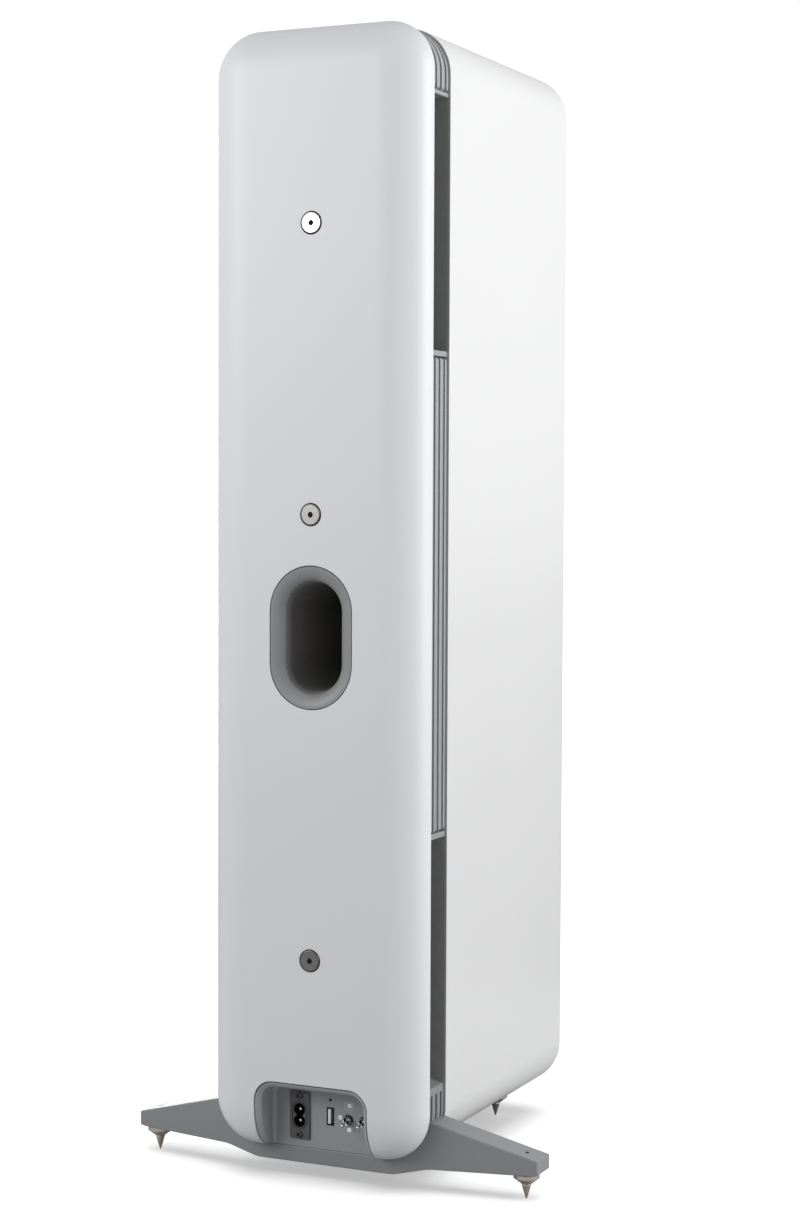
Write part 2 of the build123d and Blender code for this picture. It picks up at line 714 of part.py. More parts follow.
def base_bolt(x, z):
    seat = CRADLE_REAR_Y - 6
    head = rod(x, z, 5.0, seat, seat + 5.4)
    socket = Pos(x, z) * RegularPolygon(2.5, 6, major_radius=False)
    head -= along_y(socket, seat + 2.4, seat + 5.4)
    return head + rod(x, z, M6_R - THREAD_GAP, REAR_BAFFLE_FRONT_Y, seat)


def front_foot(x, y):
    disc = along_z(Pos(x, y) * Circle(FOOT_R), COLLAR_TOP_Z, BOTTOM_Z)
    rim = disc.edges().filter_by(GeomType.CIRCLE).sort_by(Axis.Z)[0]
    disc = fillet(rim, 1.0)
    return disc - along_z(Pos(x, y) * Circle(SLEEVE_R), COLLAR_TOP_Z, BOTTOM_Z)


def spike_bush(x, y):
    """Threaded bush with the conical collar that the spike screws through."""
    bore = M6_R + THREAD_GAP
    points = [
        (bore, CONE_H + 0.2),
        (CONE_R + 0.1, CONE_H + 0.2),
        (COLLAR_R, COLLAR_RIM_Z),
        (COLLAR_R, COLLAR_TOP_Z),
        (SLEEVE_R, COLLAR_TOP_Z),
        (SLEEVE_R, SLEEVE_TOP_Z),
        (bore, SLEEVE_TOP_Z),
    ]
    return upright(points, x, y)


def spike(x, y):
    points = [
        (0, 0),
        (TIP_R, 0),
        (CONE_R, CONE_H),
        (M6_R, CONE_H),
        (M6_R, SHANK_TOP_Z - 0.5),
        (M6_R - 0.5, SHANK_TOP_Z),
        (0, SHANK_TOP_Z),
    ]
    body = upright(points, x, y)
    socket = Pos(x, y) * RegularPolygon(1.5, 6, major_radius=False)
    return body - along_z(socket, SHANK_TOP_Z - 4, SHANK_TOP_Z)


# Front drivers


def bmr_frame(z):
    front = BAFFLE_FRONT_Y
    back = front + BMR_FRAME_T
    face = Pos(0, z) * RectangleRounded(BMR_FRAME - 0.6, BMR_FRAME - 0.6, 11.7)
    body = along_y(face, front, back) + rod(0, z, BMR_OUTER_R + 3, back, front + 26)
    body -= rod(0, z, BMR_OUTER_R + 1, back, front + 24)
    body -= rod(0, z, BMR_OUTER_R, front, back)
    body -= rod(0, z, 13.8, front + 24, front + 26)
    body -= along_y(Pos(0, z) * Rectangle(30, 90), front + 19, front + 23)
    body -= along_y(Pos(0, z) * Rectangle(90, 30), front + 19, front + 23)
    for x_side in (-1, 1):
        for z_side in (-1, 1):
            spot = (x_side * 34.5, z + z_side * 34.5)
            body -= rod(*spot, 1.5, front, back) + rod(*spot, 3.0, front, front + 2)
    return body


def bmr_diaphragm(z):
    """Flat round diaphragm with its voice-coil former behind."""
    front = BAFFLE_FRONT_Y + 2.0
    profile = outlined(
        [
            (0, front),
            (BMR_CONE_R, front),
            (BMR_CONE_R, front + 1.4),
            (13.0, front + 1.4),
            (13.0, front + 27.0),
            (12.4, front + 27.0),
            (12.4, front + 1.4),
            (0, front + 1.4),
        ]
    )
    return turned(profile, 0, z)


def bmr_surround(z):
    front = BAFFLE_FRONT_Y + 2.6
    return turned(half_roll(BMR_CONE_R + 0.05, BMR_OUTER_R - 0.05, front, 0.6, -1), 0, z)


def bmr_magnet(z):
    """Magnet and pole, with the ring-shaped gap that the coil moves in."""
    back = BAFFLE_FRONT_Y + 26
    body = rod(0, z, 24.0, back, back + 14)
    gap = rod(0, z, 13.8, back, back + 6) - rod(0, z, 11.6, back, back + 6)
    return body - gap


# Woofers


def woofer_basket(z):
    """Flange, ribbed cone and back ring in one casting."""
    seat = CABINET_REAR_Y
    profile = outlined(
        [
            (SURROUND_OUTER_R, seat + WOOFER_SEAT_T),
            (WOOFER_FRAME_R, seat + WOOFER_SEAT_T),
            (WOOFER_FRAME_R, seat),
            (SURROUND_OUTER_R + 0.8, seat),
            (40.0, 58.0),
            (40.0, 55.0),
            (20.0, 55.0),
            (20.0, 57.5),
            (37.6, 57.5),
            (SURROUND_OUTER_R - 1.6, seat),
            (SURROUND_OUTER_R, seat + 0.5),
        ]
    )
    body = turned(profile, 0, z)
    for turn in range(4):
        window = Pos(0, 76, z) * Rot(0, 45 + 90 * turn, 0) * Pos(45, 0, 0) * Box(40, 24, 34)
        body -= window
    for spot in woofer_screw_spots(z):
        body -= rod(*spot, 1.5, seat, seat + WOOFER_SEAT_T)
    return body


def woofer_cone(z):
    """Paper cone, dust cap and voice-coil former, moving as one."""
    profile = outlined(
        [
            (0, 91.0),
            (7.0, 90.2),
            (13.0, 87.8),
            (17.6, 84.0),
            (CONE_OUTER_R, 99.0),
            (CONE_OUTER_R, 97.6),
            (17.6, 82.4),
            (17.6, 46.0),
            (17.0, 46.0),
            (17.0, 83.0),
            (12.4, 86.6),
            (6.6, 89.0),
            (0, 89.8),
        ]
    )
    return turned(profile, 0, z)


def woofer_surround(z):
    profile = half_roll(CONE_OUTER_R + 0.05, SURROUND_OUTER_R - 0.05, 98.4, 1.0, 1)
    return turned(profile, 0, z)


def woofer_magnet(z):
    body = rod(0, z, 40.0, 33.0, 55.0)
    gap = rod(0, z, 18.4, 38.0, 55.0) - rod(0, z, 16.2, 38.0, 55.0)
    return body - gap


def driver_screw(x, z, seat, towards, length):
    """Pan-head screw. towards is the side its head faces, +1 for the rear."""
    ends = sorted((seat, seat + towards * 1.8))
    head = rod(x, z, 2.8, *ends)
    ends = sorted((seat, seat - towards * length))
    return head + rod(x, z, 1.4, *ends)


def driver_screws():
    screws = []
    for z in BMR_ZS.values():
        for x_side in (-1, 1):
            for z_side in (-1, 1):
                spot = (x_side * 34.5, z + z_side * 34.5)
                screws.append(driver_screw(*spot, BAFFLE_FRONT_Y + 2, -1, 11))
    for z in WOOFER_ZS.values():
        for spot in woofer_screw_spots(z):
            screws.append(driver_screw(*spot, CABINET_REAR_Y + WOOFER_SEAT_T, 1, 14))
        for spot in bracket_screw_spots(z):
            screws.append(driver_screw(*spot, CABINET_REAR_Y + BRACKET_T, 1, 14))
    return screws


# Grille


def grille_frame():
    back = BAFFLE_FRONT_Y - (GRILLE_T - 7.4)
    front = FRONT_Y + CLOTH_T
    outer = outline(WALL + GRILLE_GAP)
    body = along_y(outer - outline(WALL + GRILLE_GAP + GRILLE_RIB), front, back)
    width = HALF - WALL - GRILLE_GAP - 1
    for z in (225.0, 430.0, 628.0):
        body += along_y(rect(-width, width, z - 4, z + 4), front, back)
    for x, z in magnet_spots():
        body -= rod(x, z, MAGNET_R, back - MAGNET_T, back)
    return body


def grille_fabric():
    body = along_y(outline(WALL + GRILLE_GAP), FRONT_Y, FRONT_Y + CLOTH_T)
    front = body.faces().sort_by(Axis.Y)[0]
    return fillet(front.edges(), 1.6)


def grille_magnets():
    back = BAFFLE_FRONT_Y - (GRILLE_T - 7.4)
    return [rod(x, z, MAGNET_R, back - MAGNET_T, back) for x, z in magnet_spots()]


def baffle_magnets():
    front = BAFFLE_FRONT_Y
    return [rod(x, z, MAGNET_R, front, front + MAGNET_T) for x, z in magnet_spots()]


# Electronics in the gap


def on_board(x, z, wide, high, y_low, y_high):
    return along_y(Pos(x, z) * Rectangle(wide, high), y_low, y_high)


def board(z_low, z_high, half):
    """A circuit board on four short pillars behind the rear baffle."""
    body = along_y(rect(-half, half, z_low, z_high), 100.0, 101.6)
    for x in (-half + 5, half - 5):
        for z in (z_low + 5, z_high - 5):
            body += rod(x, z, 3.0, CABINET_REAR_Y, 100.0)
    return body


def amplifier_board():
    body = board(510.0, 602.0, 60.0)
    for x, z in ((-44, 590), (44, 590), (-44, 560), (44, 560)):
        body += on_board(x, z, 14, 14, 101.6, 103.4)
    for x in (-15, 15):
        for z in (530, 556):
            body += along_y(Pos(x, z) * Circle(8), 101.6, 116.0)
    body += on_board(0, 586, 34, 22, 101.6, 105.0)
    return body


def power_supply_board():
    body = board(272.0, 346.0, 60.0)
    body += on_board(-34, 322, 36, 34, 101.6, 121.0)
    for x in (4, 26, 48):
        body += along_y(Pos(x, 326) * Circle(9), 101.6, 120.0)
    body += on_board(20, 290, 60, 12, 101.6, 112.0)
    return body


# All nodes

write("cabinet_sleeve", cabinet_sleeve())
write("front_baffle", front_baffle())
write("rear_baffle", rear_baffle())
write("cabinet_braces", *[brace(z) for z in BRACE_ZS])
write("wadding", wadding_pad(-1), wadding_pad(1))
write("spacer_arch", spacer_arch())
write("heatsink_left", heatsink(1))
write("heatsink_right", heatsink(-1))
write("spacer_block_left", spacer_block(1))
write("spacer_block_right", spacer_block(-1))
write("window_end_plates", *window_end_plates())
write("rear_cover", rear_cover())
write("cover_bolts", *[cover_bolt(z) for z in BOLT_ZS])
upper_and_lower = (BOLT_ZS[0], BOLT_ZS[2])
posts = [cover_standoff(z, BRACKET_BACK_Y) for z in upper_and_lower]
write("cover_standoffs", *posts, middle_standoff())
write("cover_brackets", *[cover_bracket(z) for z in upper_and_lower])
write("port_flare", port_flare())
write("port_tube", port_tube())
write("io_surround", io_surround())
write("io_panel", io_panel())
write("mains_inlet", mains_inlet())
write("mains_pins", *[mains_pin(*spot) for spot in pin_spots()])
write("mains_inlet_screws", *[inlet_screw(*spot) for spot in inlet_screw_spots()])
write("usb_shell", usb_shell())
write("usb_tongue", usb_tongue())
for name, x in TOGGLE_XS.items():
    write(f"{name}_switch_body", toggle_body(x))
    write(f"{name}_switch_lever", toggle_lever(x))
write("switch_nuts", *[toggle_nut(x) for x in TOGGLE_XS.values()])
write("setup_button", setup_button())
write("setup_switch", setup_switch())
write("base_bar", base_bar())
bolt_spots = [(side * x, z) for x, z in BASE_BOLTS for side in (-1, 1)]
write("base_bolts", *[base_bolt(*spot) for spot in bolt_spots])
front_spots = [SPIKES["spike_front_left"], SPIKES["spike_front_right"]]
write("front_feet", *[front_foot(*spot) for spot in front_spots])
write("spike_bushes", *[spike_bush(*spot) for spot in SPIKES.values()])
for name, spot in SPIKES.items():
    write(name, spike(*spot))
for name, z in BMR_ZS.items():
    write(f"{name}_bmr_frame", bmr_frame(z))
    write(f"{name}_bmr_diaphragm", bmr_diaphragm(z))
    write(f"{name}_bmr_surround", bmr_surround(z))
write("bmr_magnets", *[bmr_magnet(z) for z in BMR_ZS.values()])
for name, z in WOOFER_ZS.items():
    write(f"{name}_woofer_basket", woofer_basket(z))
    write(f"{name}_woofer_cone", woofer_cone(z))
    write(f"{name}_woofer_surround", woofer_surround(z))
write("woofer_magnets", *[woofer_magnet(z) for z in WOOFER_ZS.values()])
write("driver_screws", *driver_screws())
write("grille_frame", grille_frame())
write("grille_fabric", grille_fabric())
write("grille_magnets", *grille_magnets())
write("baffle_magnets", *baffle_magnets())
write("amplifier_board", amplifier_board())
write("power_supply_board", power_supply_board())
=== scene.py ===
from math import acos, cos, degrees, pi, radians, sin, sqrt

import bmesh
import bpy
from mathutils import Matrix, Vector, noise
from mathutils.geometry import tessellate_polygon


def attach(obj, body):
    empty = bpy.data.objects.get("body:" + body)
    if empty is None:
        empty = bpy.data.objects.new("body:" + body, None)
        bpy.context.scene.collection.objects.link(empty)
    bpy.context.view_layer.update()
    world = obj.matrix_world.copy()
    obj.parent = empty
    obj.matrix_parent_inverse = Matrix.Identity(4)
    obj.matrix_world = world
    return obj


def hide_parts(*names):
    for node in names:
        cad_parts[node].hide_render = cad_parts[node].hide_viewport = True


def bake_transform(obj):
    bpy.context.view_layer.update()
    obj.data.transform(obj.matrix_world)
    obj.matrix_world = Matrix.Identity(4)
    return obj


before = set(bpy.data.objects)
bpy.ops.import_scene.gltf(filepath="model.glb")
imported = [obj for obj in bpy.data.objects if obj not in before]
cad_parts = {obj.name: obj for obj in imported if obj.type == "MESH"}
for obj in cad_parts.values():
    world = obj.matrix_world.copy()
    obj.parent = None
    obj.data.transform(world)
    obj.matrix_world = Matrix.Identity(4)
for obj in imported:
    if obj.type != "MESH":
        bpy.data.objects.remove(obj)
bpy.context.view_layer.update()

# Lengths are millimetres until a mesh is made. X is across, Y goes from front to rear and Z is up.
MM = 0.001
HALF = 86.5
TOP_Z = 846.0
BOTTOM_Z = 23.0
CORNER_R = 35.5
CORNER_X = HALF - CORNER_R
LOW_CORNER_Z = BOTTOM_Z + CORNER_R
HIGH_CORNER_Z = TOP_Z - CORNER_R
FRONT_Y = -148.0
SLEEVE_FRONT_Y = -146.0
FRONT_EDGE_R = 11.0
CABINET_REAR_Y = 96.5
GAP_REAR_Y = 124.5
COVER_FRONT_Y = 125.5
REAR_Y = 148.0
WALL = 12.0
REBATE_INSET = 2.2
REBATE_Y = 95.3
SPACER_INSET = 2.0
SPACER_WALL = 12.0
SPACER_GAP = 0.6
SPACER_LOW_Y = CABINET_REAR_Y + 0.05
SPACER_HIGH_Y = GAP_REAR_Y - 0.05
WINDOW_PLATES = ((258.5, 262.7), (607.8, 612.0), (794.0, 797.2))
GROOVE_YS = (100.9, 109.25, 117.6)
GROOVE_W = 3.2
GROOVE_DEPTH = 5.0
GROOVE_SWEEP_R = 7.0
FIN_END_R = 3.0
END_STEPS = (0.0, 0.12, 0.4, 0.9, 1.5, 2.2, 3.0)
COVER_WALL = 4.0
COVER_EDGE_RUN = 34.5
COVER_EDGE_RISE = 22.3
BOLT_ZS = (168.3, 493.5, 703.0)
BOLT_FACE_R = 7.0
BOLT_KEY = 4.0
BOLT_RECESS_R = 8.5
BOLT_SEAT_Y = 142.0
BOLT_TOP_Y = 148.6
PORT_Z = 404.25
PORT_HALF_RUN = 19.0
PORT_LIP_RUN = 0.15
PORT_R = 21.0
PORT_FLARE_R = 11.6
PORT_HOLE_R = 33.4
CUTOUT_HALF = 46.4
CUTOUT_TOP_Z = 76.1
CUTOUT_R = 15.5
BAND_W = 1.2
PANEL_Y = 124.0
LIP_GAP = 0.35
LIP_W = 4.0
INLET_X = 19.6
INLET_Z = 47.0
INLET_BODY = (14.0, 24.0, 2.0)
INLET_SCREW_RUN = 14.5
PIN_PITCH = 8.6
USB_X = -5.3
USB_Z = 48.4
SETUP_HOLE = (-5.2, 60.7)
TOGGLES = {"placement": -20.2, "channel": -33.0}
TOGGLE_Z = 47.6
TOGGLE_PIVOT_Y = 125.5
TOGGLE_THROW = 13.0
TOGGLE_HOLE_R = 3.05
UP = (0, 0, 1)
CRADLE_HALF = 46.8
ARM_END_X = 165.0
ARM_ROOT_Z = 52.0
# Heights and depths of the base bar along its reach from the middle.
UNDER = ((0.0, 11.0), (56.0, 11.0), (83.0, 17.3), (161.0, 19.2), (ARM_END_X, 20.0))
UPPER = ((HALF, ARM_ROOT_Z), (ARM_END_X, 30.6))
BACK = ((0.0, CABINET_REAR_Y), (HALF, CABINET_REAR_Y), (ARM_END_X, 87.7))
REAR = ((0.0, 124.0), (57.4, 124.0), (ARM_END_X, 111.8))
SPIKES = {
    "rear_left": (152.8, 102.0),
    "rear_right": (-152.8, 102.0),
    "front_left": (43.5, -103.5),
    "front_right": (-43.5, -103.5),
}


# Mesh making


class Shape:
    """Points and faces gathered before they become one mesh. Each face keeps a material number."""

    def __init__(self):
        self.points = []
        self.faces = []
        self.slots = []

    def ring(self, points):
        first = len(self.points)
        self.points += [tuple(p) for p in points]
        return list(range(first, first + len(points)))

    def face(self, corners, slot=0):
        if len(set(corners)) > 2:
            self.faces.append(tuple(corners))
            self.slots.append(slot)

    def strip(self, a, b, closed=True, slot=0):
        """Quads between two rings. A ring of one point makes a fan."""
        count = max(len(a), len(b))
        for i in range(count if closed else count - 1):
            j = (i + 1) % count
            if len(a) == 1:
                self.face((a[0], b[j], b[i]), slot)
            elif len(b) == 1:
                self.face((a[i], a[j], b[0]), slot)
            else:
                self.face((a[i], a[j], b[j], b[i]), slot)

    def skin(self, rings, closed=True, joined=False, slot=0):
        """A surface through rings of points. joined carries the last ring back to the first."""
        ids = [self.ring(r) for r in rings]
        after = ids[1:] + (ids[:1] if joined else [])
        for a, b in zip(ids, after):
            self.strip(a, b, closed, slot)
        return ids

    def fill(self, loops, slot=0):
        """A flat face inside the first loop of point numbers and outside the others."""
        flat = [i for loop in loops for i in loop]
        places = [[Vector(self.points[i]) for i in loop] for loop in loops]
        for corners in tessellate_polygon(places):
            self.face([flat[k] for k in corners], slot)

    def cup(self, rings, slot=0):
        """A surface through rings, with a flat end at the last."""
        self.fill([self.skin(rings, slot=slot)[-1]], slot)

    def solid(self, rings):
        """A surface through rings, with flat ends."""
        ids = self.skin(rings)
        self.fill([ids[0]])
        self.fill([ids[-1]])


def placed(name, data):
    made = bpy.data.objects.new(name, data)
    bpy.context.scene.collection.objects.link(made)
    return made


def weigh_normals(piece, keep_sharp):
    normals = piece.modifiers.new("Normals", "WEIGHTED_NORMAL")
    normals.keep_sharp = keep_sharp
    normals.weight = 80


def make(name, shape, materials, replaces=None, body="speaker", bevel=0.0, segments=3, angle=35.0,
         merge=0.001):
    """The mesh object of a shape, riding on a body."""
    mesh = bpy.data.meshes.new(name)
    mesh.from_pydata([(x * MM, y * MM, z * MM) for x, y, z in shape.points], [], shape.faces)
    for polygon, number in zip(mesh.polygons, shape.slots):
        polygon.material_index = number
    grid = bmesh.new()
    grid.from_mesh(mesh)
    bmesh.ops.remove_doubles(grid, verts=grid.verts, dist=merge * MM)
    bmesh.ops.dissolve_degenerate(grid, edges=grid.edges, dist=merge * MM)
    bmesh.ops.recalc_face_normals(grid, faces=grid.faces)
    grid.to_mesh(mesh)
    grid.free()
    mesh.shade_smooth()
    mesh.set_sharp_from_angle(angle=radians(angle))
    piece = placed(name, mesh)
    for look in materials if isinstance(materials, list) else [materials]:
        mesh.materials.append(look)
    if bevel:
        edge = piece.modifiers.new("Edge", "BEVEL")
        edge.width = bevel * MM
        edge.segments = segments
        edge.limit_method = "ANGLE"
        edge.angle_limit = radians(angle)
        edge.use_clamp_overlap = True
        edge.miter_outer = "MITER_ARC"
    weigh_normals(piece, not bevel)
    if body:
        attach(piece, body)
    if replaces:
        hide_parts(replaces)
    return piece


def steps(start, end, count):
    return [start + (end - start) * i / count for i in range(count + 1)]


def at(points, y):
    return [(x, y, z) for x, z in points]


def arc(x, z, radius, start, end, count=16):
    """Points on an arc, angles in degrees from +X."""
    return [(x + radius * cos(radians(a)), z + radius * sin(radians(a))) for a in steps(start, end, count)]


def round_over(inset, depth, radius, count, towards=1):
    """Inset and depth over a round edge. It ends flat at that depth, from its towards side."""
    return arc(inset + radius, depth + towards * radius, radius, 180, 180 + towards * 90, count)


def circle(x, z, radius, count=48):
    return arc(x, z, radius, 0, 360, count)[:-1]


def hexagon(x, z, across_flats, turn=0.0):
    return arc(x, z, across_flats / 2 / cos(pi / 6), turn, turn + 360, 6)[:-1]


def rounded(x, z, width, height, radius, count=6):
    """Anticlockwise rectangle with round corners."""
    a, b = width / 2 - radius, height / 2 - radius
    points = []
    for sx, sz, start in ((1, -1, -90), (1, 1, 0), (-1, 1, 90), (-1, -1, 180)):
        points += arc(x + sx * a, z + sz * b, radius, start, start + 90, count)
    return points


def stadium(x, z, radius, half_run, count=24, run=6):
    """Upright slot shape with round ends."""
    right = [(x + radius, z + v) for v in steps(-half_run, half_run, run)][1:-1]
    left = [(x - radius, z + v) for v in steps(half_run, -half_run, run)][1:-1]
    top, bottom = arc(x, z + half_run, radius, 0, 180, count), arc(x, z - half_run, radius, 180, 360, count)
    return top + left + bottom + right


def outline(inset=0.0, count=24, side=24):
    """The rounded front view: from the middle of the bottom, up the +X side and round."""
    radius = CORNER_R - inset
    half = [(x, BOTTOM_Z + inset) for x in (0.0, 23.0, CUTOUT_HALF, CUTOUT_HALF + BAND_W)]
    half += arc(CORNER_X, LOW_CORNER_Z, radius, -90, 0, count)
    half += [(HALF - inset, z) for z in steps(LOW_CORNER_Z, HIGH_CORNER_Z, side)[1:-1]]
    half += arc(CORNER_X, HIGH_CORNER_Z, radius, 0, 90, count)
    half += [(25.0, TOP_Z - inset), (0.0, TOP_Z - inset)]
    return half + [(-x, z) for x, z in reversed(half) if x > 0]


def arch(half, top, radius, low, count=14, leg=10):
    """The cutout's edge: up from low on the +X side, over, and down the other side."""
    right = [(half, z) for z in steps(low, top - radius, leg)]
    right += arc(half - radius, top - radius, radius, 0, 90, count)[1:]
    right += [(half * 0.3, top)]
    return right + [(-x, z) for x, z in reversed(right)]


def offset(loop, distance):
    """A closed loop moved to its left, with mitred corners."""
    moved = []
    for i, (x, z) in enumerate(loop):
        ax, az = loop[i - 1]
        bx, bz = loop[(i + 1) % len(loop)]
        first = Vector((x - ax, z - az))
        second = Vector((bx - x, bz - z))
        if first.length < 1e-6:
            first = second
        if second.length < 1e-6:
            second = first
        first.normalize()
        second.normalize()
        left = Vector((-first.y - second.y, first.x + second.x)).normalized()
        reach = distance / max(0.3, left.dot(Vector((-first.y, first.x))))
        moved.append((x + left.x * reach, z + left.y * reach))
    return moved


def slab(shape, loops, low, high, rounds, slot=0, back=True):
    """A plate between two depths. The first loop is outside and the others are holes, all given
    anticlockwise. rounds are the edge radii at the high side, one for each loop."""
    rims, backs = [], []
    for number, (loop, radius) in enumerate(zip(loops, rounds)):
        path = loop[::-1] if number else loop
        rows = [(0.0, low), (0.0, high)]
        if radius:
            rows[1:] = round_over(0.0, high, radius, 4, -1) + [(radius * 1.5, high)]
        ids = shape.skin([at(offset(path, inset), y) for inset, y in rows], slot=slot)
        rims.append(ids[-1])
        backs.append(ids[0])
    shape.fill(rims, slot)
    if back:
        shape.fill(backs, slot)
    return shape


def lathe(shape, profile, origin, axis=(0, 1, 0), count=48, slot=0, closed=False):
    """A turned surface. The profile is radius and distance along the axis."""
    run = Vector(axis).normalized()
    side = run.orthogonal().normalized()
    other = run.cross(side)
    rings = []
    for radius, distance in profile:
        centre = Vector(origin) + run * distance
        turns = [2 * pi * i / count for i in range(count if radius > 1e-6 else 1)]
        rings.append([centre + side * (radius * cos(a)) + other * (radius * sin(a)) for a in turns])
    ids = [shape.ring(r) for r in rings]
    for a, b in zip(ids, ids[1:] + (ids[:1] if closed else [])):
        if len(a) > 1 or len(b) > 1:
            shape.strip(a, b, slot=slot)
    return shape


def box(shape, low, high, slot=0):
    (a, b, c), (d, e, f) = low, high
    bottom = shape.ring([(a, b, c), (d, b, c), (d, e, c), (a, e, c)])
    top = shape.ring([(a, b, f), (d, b, f), (d, e, f), (a, e, f)])
    shape.strip(bottom, top, slot=slot)
    shape.face(bottom[::-1], slot)
    shape.face(top, slot)


def drill(piece, cutters):
    """Boolean cuts, applied, with the cutters removed after."""
    for cutter in cutters:
        cut = piece.modifiers.new("Cut", "BOOLEAN")
        cut.operation = "DIFFERENCE"
        cut.solver = "EXACT"
        cut.object = cutter
    piece.modifiers.remove(piece.modifiers["Normals"])
    depsgraph = bpy.context.evaluated_depsgraph_get()
    mesh = bpy.data.meshes.new_from_object(piece.evaluated_get(depsgraph))
    piece.modifiers.clear()
    piece.data = mesh
    for cutter in cutters:
        bpy.data.objects.remove(cutter)
    weigh_normals(piece, True)


# Materials


def node(tree, kind, **values):
    """A shader node. An input's name is given with underscores for its spaces."""
    made = tree.nodes.new("ShaderNode" + kind)
    for key, value in values.items():
        made.inputs[key.replace("_", " ")].default_value = value
    return made


def join(tree, source, out, target, into):
    tree.links.new(source.outputs[out], target.inputs[into])


def material(name, colour, roughness, metallic=0.0, mottle=(0.03, 900), rough_spread=0.05, grain=None,
             second_grain=None, coat=0.0, coat_roughness=0.1, specular=0.5, sheen=0.0, tint=None, thread=0.0):
    """A procedural finish: mottled colour, uneven gloss and a fine surface grain. mottle is a strength
    and a scale, and each grain is a depth and a scale."""
    look = bpy.data.materials.new(name)
    look.use_nodes = True
    tree = look.node_tree
    tree.nodes.clear()
    out = node(tree, "OutputMaterial")
    shader = node(tree, "BsdfPrincipled", Metallic=metallic, Coat_Weight=coat, Coat_Roughness=coat_roughness,
                  Specular_IOR_Level=specular, Sheen_Weight=sheen)
    join(tree, shader, "BSDF", out, "Surface")
    place = node(tree, "TexCoord")
    strength, scale = mottle
    patches = node(tree, "TexNoise", Scale=scale, Detail=4)
    join(tree, place, "Object", patches, "Vector")
    mix = node(tree, "Mix")
    mix.data_type = "RGBA"
    mix.inputs["A"].default_value = (*[c * (1 - strength) for c in colour], 1)
    mix.inputs["B"].default_value = (*[min(1, c * (1 + strength)) for c in tint or colour], 1)
    join(tree, patches, "Fac", mix, "Factor")
    join(tree, mix, "Result", shader, "Base Color")
    spread = node(tree, "MapRange", To_Min=max(0.02, roughness - rough_spread),
                  To_Max=min(1, roughness + rough_spread))
    join(tree, patches, "Fac", spread, "Value")
    join(tree, spread, "Result", shader, "Roughness")
    relief = None
    for depth, scale in filter(None, (grain, second_grain)):
        fine = node(tree, "TexNoise", Scale=scale, Detail=3)
        join(tree, place, "Object", fine, "Vector")
        bump = node(tree, "Bump", Strength=1.0, Distance=depth * MM)
        join(tree, fine, "Fac", bump, "Height")
        if relief:
            join(tree, relief, "Normal", bump, "Normal")
        relief = bump
    if thread:
        relief = woven(tree, place, thread, mix, shader)
    if relief:
        join(tree, relief, "Normal", shader, "Normal")
    return look


def woven(tree, place, thread, mix, shader):
    """Over-and-under threads, thread millimetres apart, as bump and as colour that follows the bump: painted
    shade in the gaps and a painted highlight on the raised crossings.
    """
    product = node(tree, "Math")
    product.operation = "MULTIPLY"
    for i, direction in enumerate("XZ"):
        wave = node(tree, "TexWave", Scale=pi / 20 / (thread * MM), Distortion=0.6, Detail_Scale=0.4)
        wave.bands_direction = direction
        join(tree, place, "Object", wave, "Vector")
        centred = node(tree, "Math")
        centred.operation = "SUBTRACT"
        centred.inputs[1].default_value = 0.5
        join(tree, wave, "Fac", centred, 0)
        join(tree, centred, "Value", product, i)
    height = node(tree, "Math")
    height.operation = "MULTIPLY_ADD"
    height.inputs[1].default_value = 2.0
    height.inputs[2].default_value = 0.5
    join(tree, product, "Value", height, 0)
    bump = node(tree, "Bump", Distance=0.3 * thread * MM)
    join(tree, height, "Value", bump, "Height")
    # Colour scaled by the thread height: painted shade in the gaps, painted highlight on the crossings.
    shade = node(tree, "MapRange", To_Min=0.62, To_Max=1.12)
    join(tree, height, "Value", shade, "Value")
    scaled = node(tree, "VectorMath")
    scaled.operation = "SCALE"
    join(tree, mix, "Result", scaled, 0)
    join(tree, shade, "Result", scaled, "Scale")
    join(tree, scaled, "Vector", shader, "Base Color")
    return bump


def moulded(name, colour, roughness=0.5):
    """The grey plastic of the port mouth, the panel and its liner."""
    return material(name, colour, roughness, mottle=(0.045, 900), grain=(0.01, 2200))


WHITE = material("white_lacquer", (0.80, 0.80, 0.805), 0.32, mottle=(0.01, 9), coat=0.25, coat_roughness=0.18,
                 grain=(0.004, 2500), second_grain=(0.02, 60))
COVER = material("white_cover", (0.79, 0.80, 0.827), 0.42, mottle=(0.012, 9), grain=(0.006, 3500),
                 second_grain=(0.02, 50))
RIM = material("sleeve_rim", (0.40, 0.40, 0.395), 0.6, mottle=(0.08, 60), grain=(0.02, 1800))
BOARD = material("raw_board", (0.28, 0.19, 0.11), 0.8, mottle=(0.25, 500), grain=(0.05, 1500),
                 tint=(0.34, 0.25, 0.16))
DARK_BOARD = material("dark_board", (0.33, 0.33, 0.327), 0.62, mottle=(0.1, 120), grain=(0.03, 1800))
CASTING = material("grey_casting", (0.272, 0.276, 0.283), 0.46, mottle=(0.07, 900), grain=(0.012, 1700),
                   second_grain=(0.03, 220))
MOULDING = moulded("grey_moulding", (0.28, 0.285, 0.293), 0.46)
# A lighter copy of the grey moulding for the recessed panel: painted light that makes up for the shade it
# sits in.
PANEL = moulded("panel_moulding_painted_light", (0.33, 0.335, 0.345))
LINER = moulded("liner_moulding", (0.43, 0.436, 0.448))
HEATSINK = material("grey_heatsink", (0.37, 0.378, 0.385), 0.4, 0.15, mottle=(0.03, 160), grain=(0.012, 2600))
STEEL = material("brushed_steel", (0.62, 0.61, 0.59), 0.17, 1.0, grain=(0.0008, 3000), rough_spread=0.03)
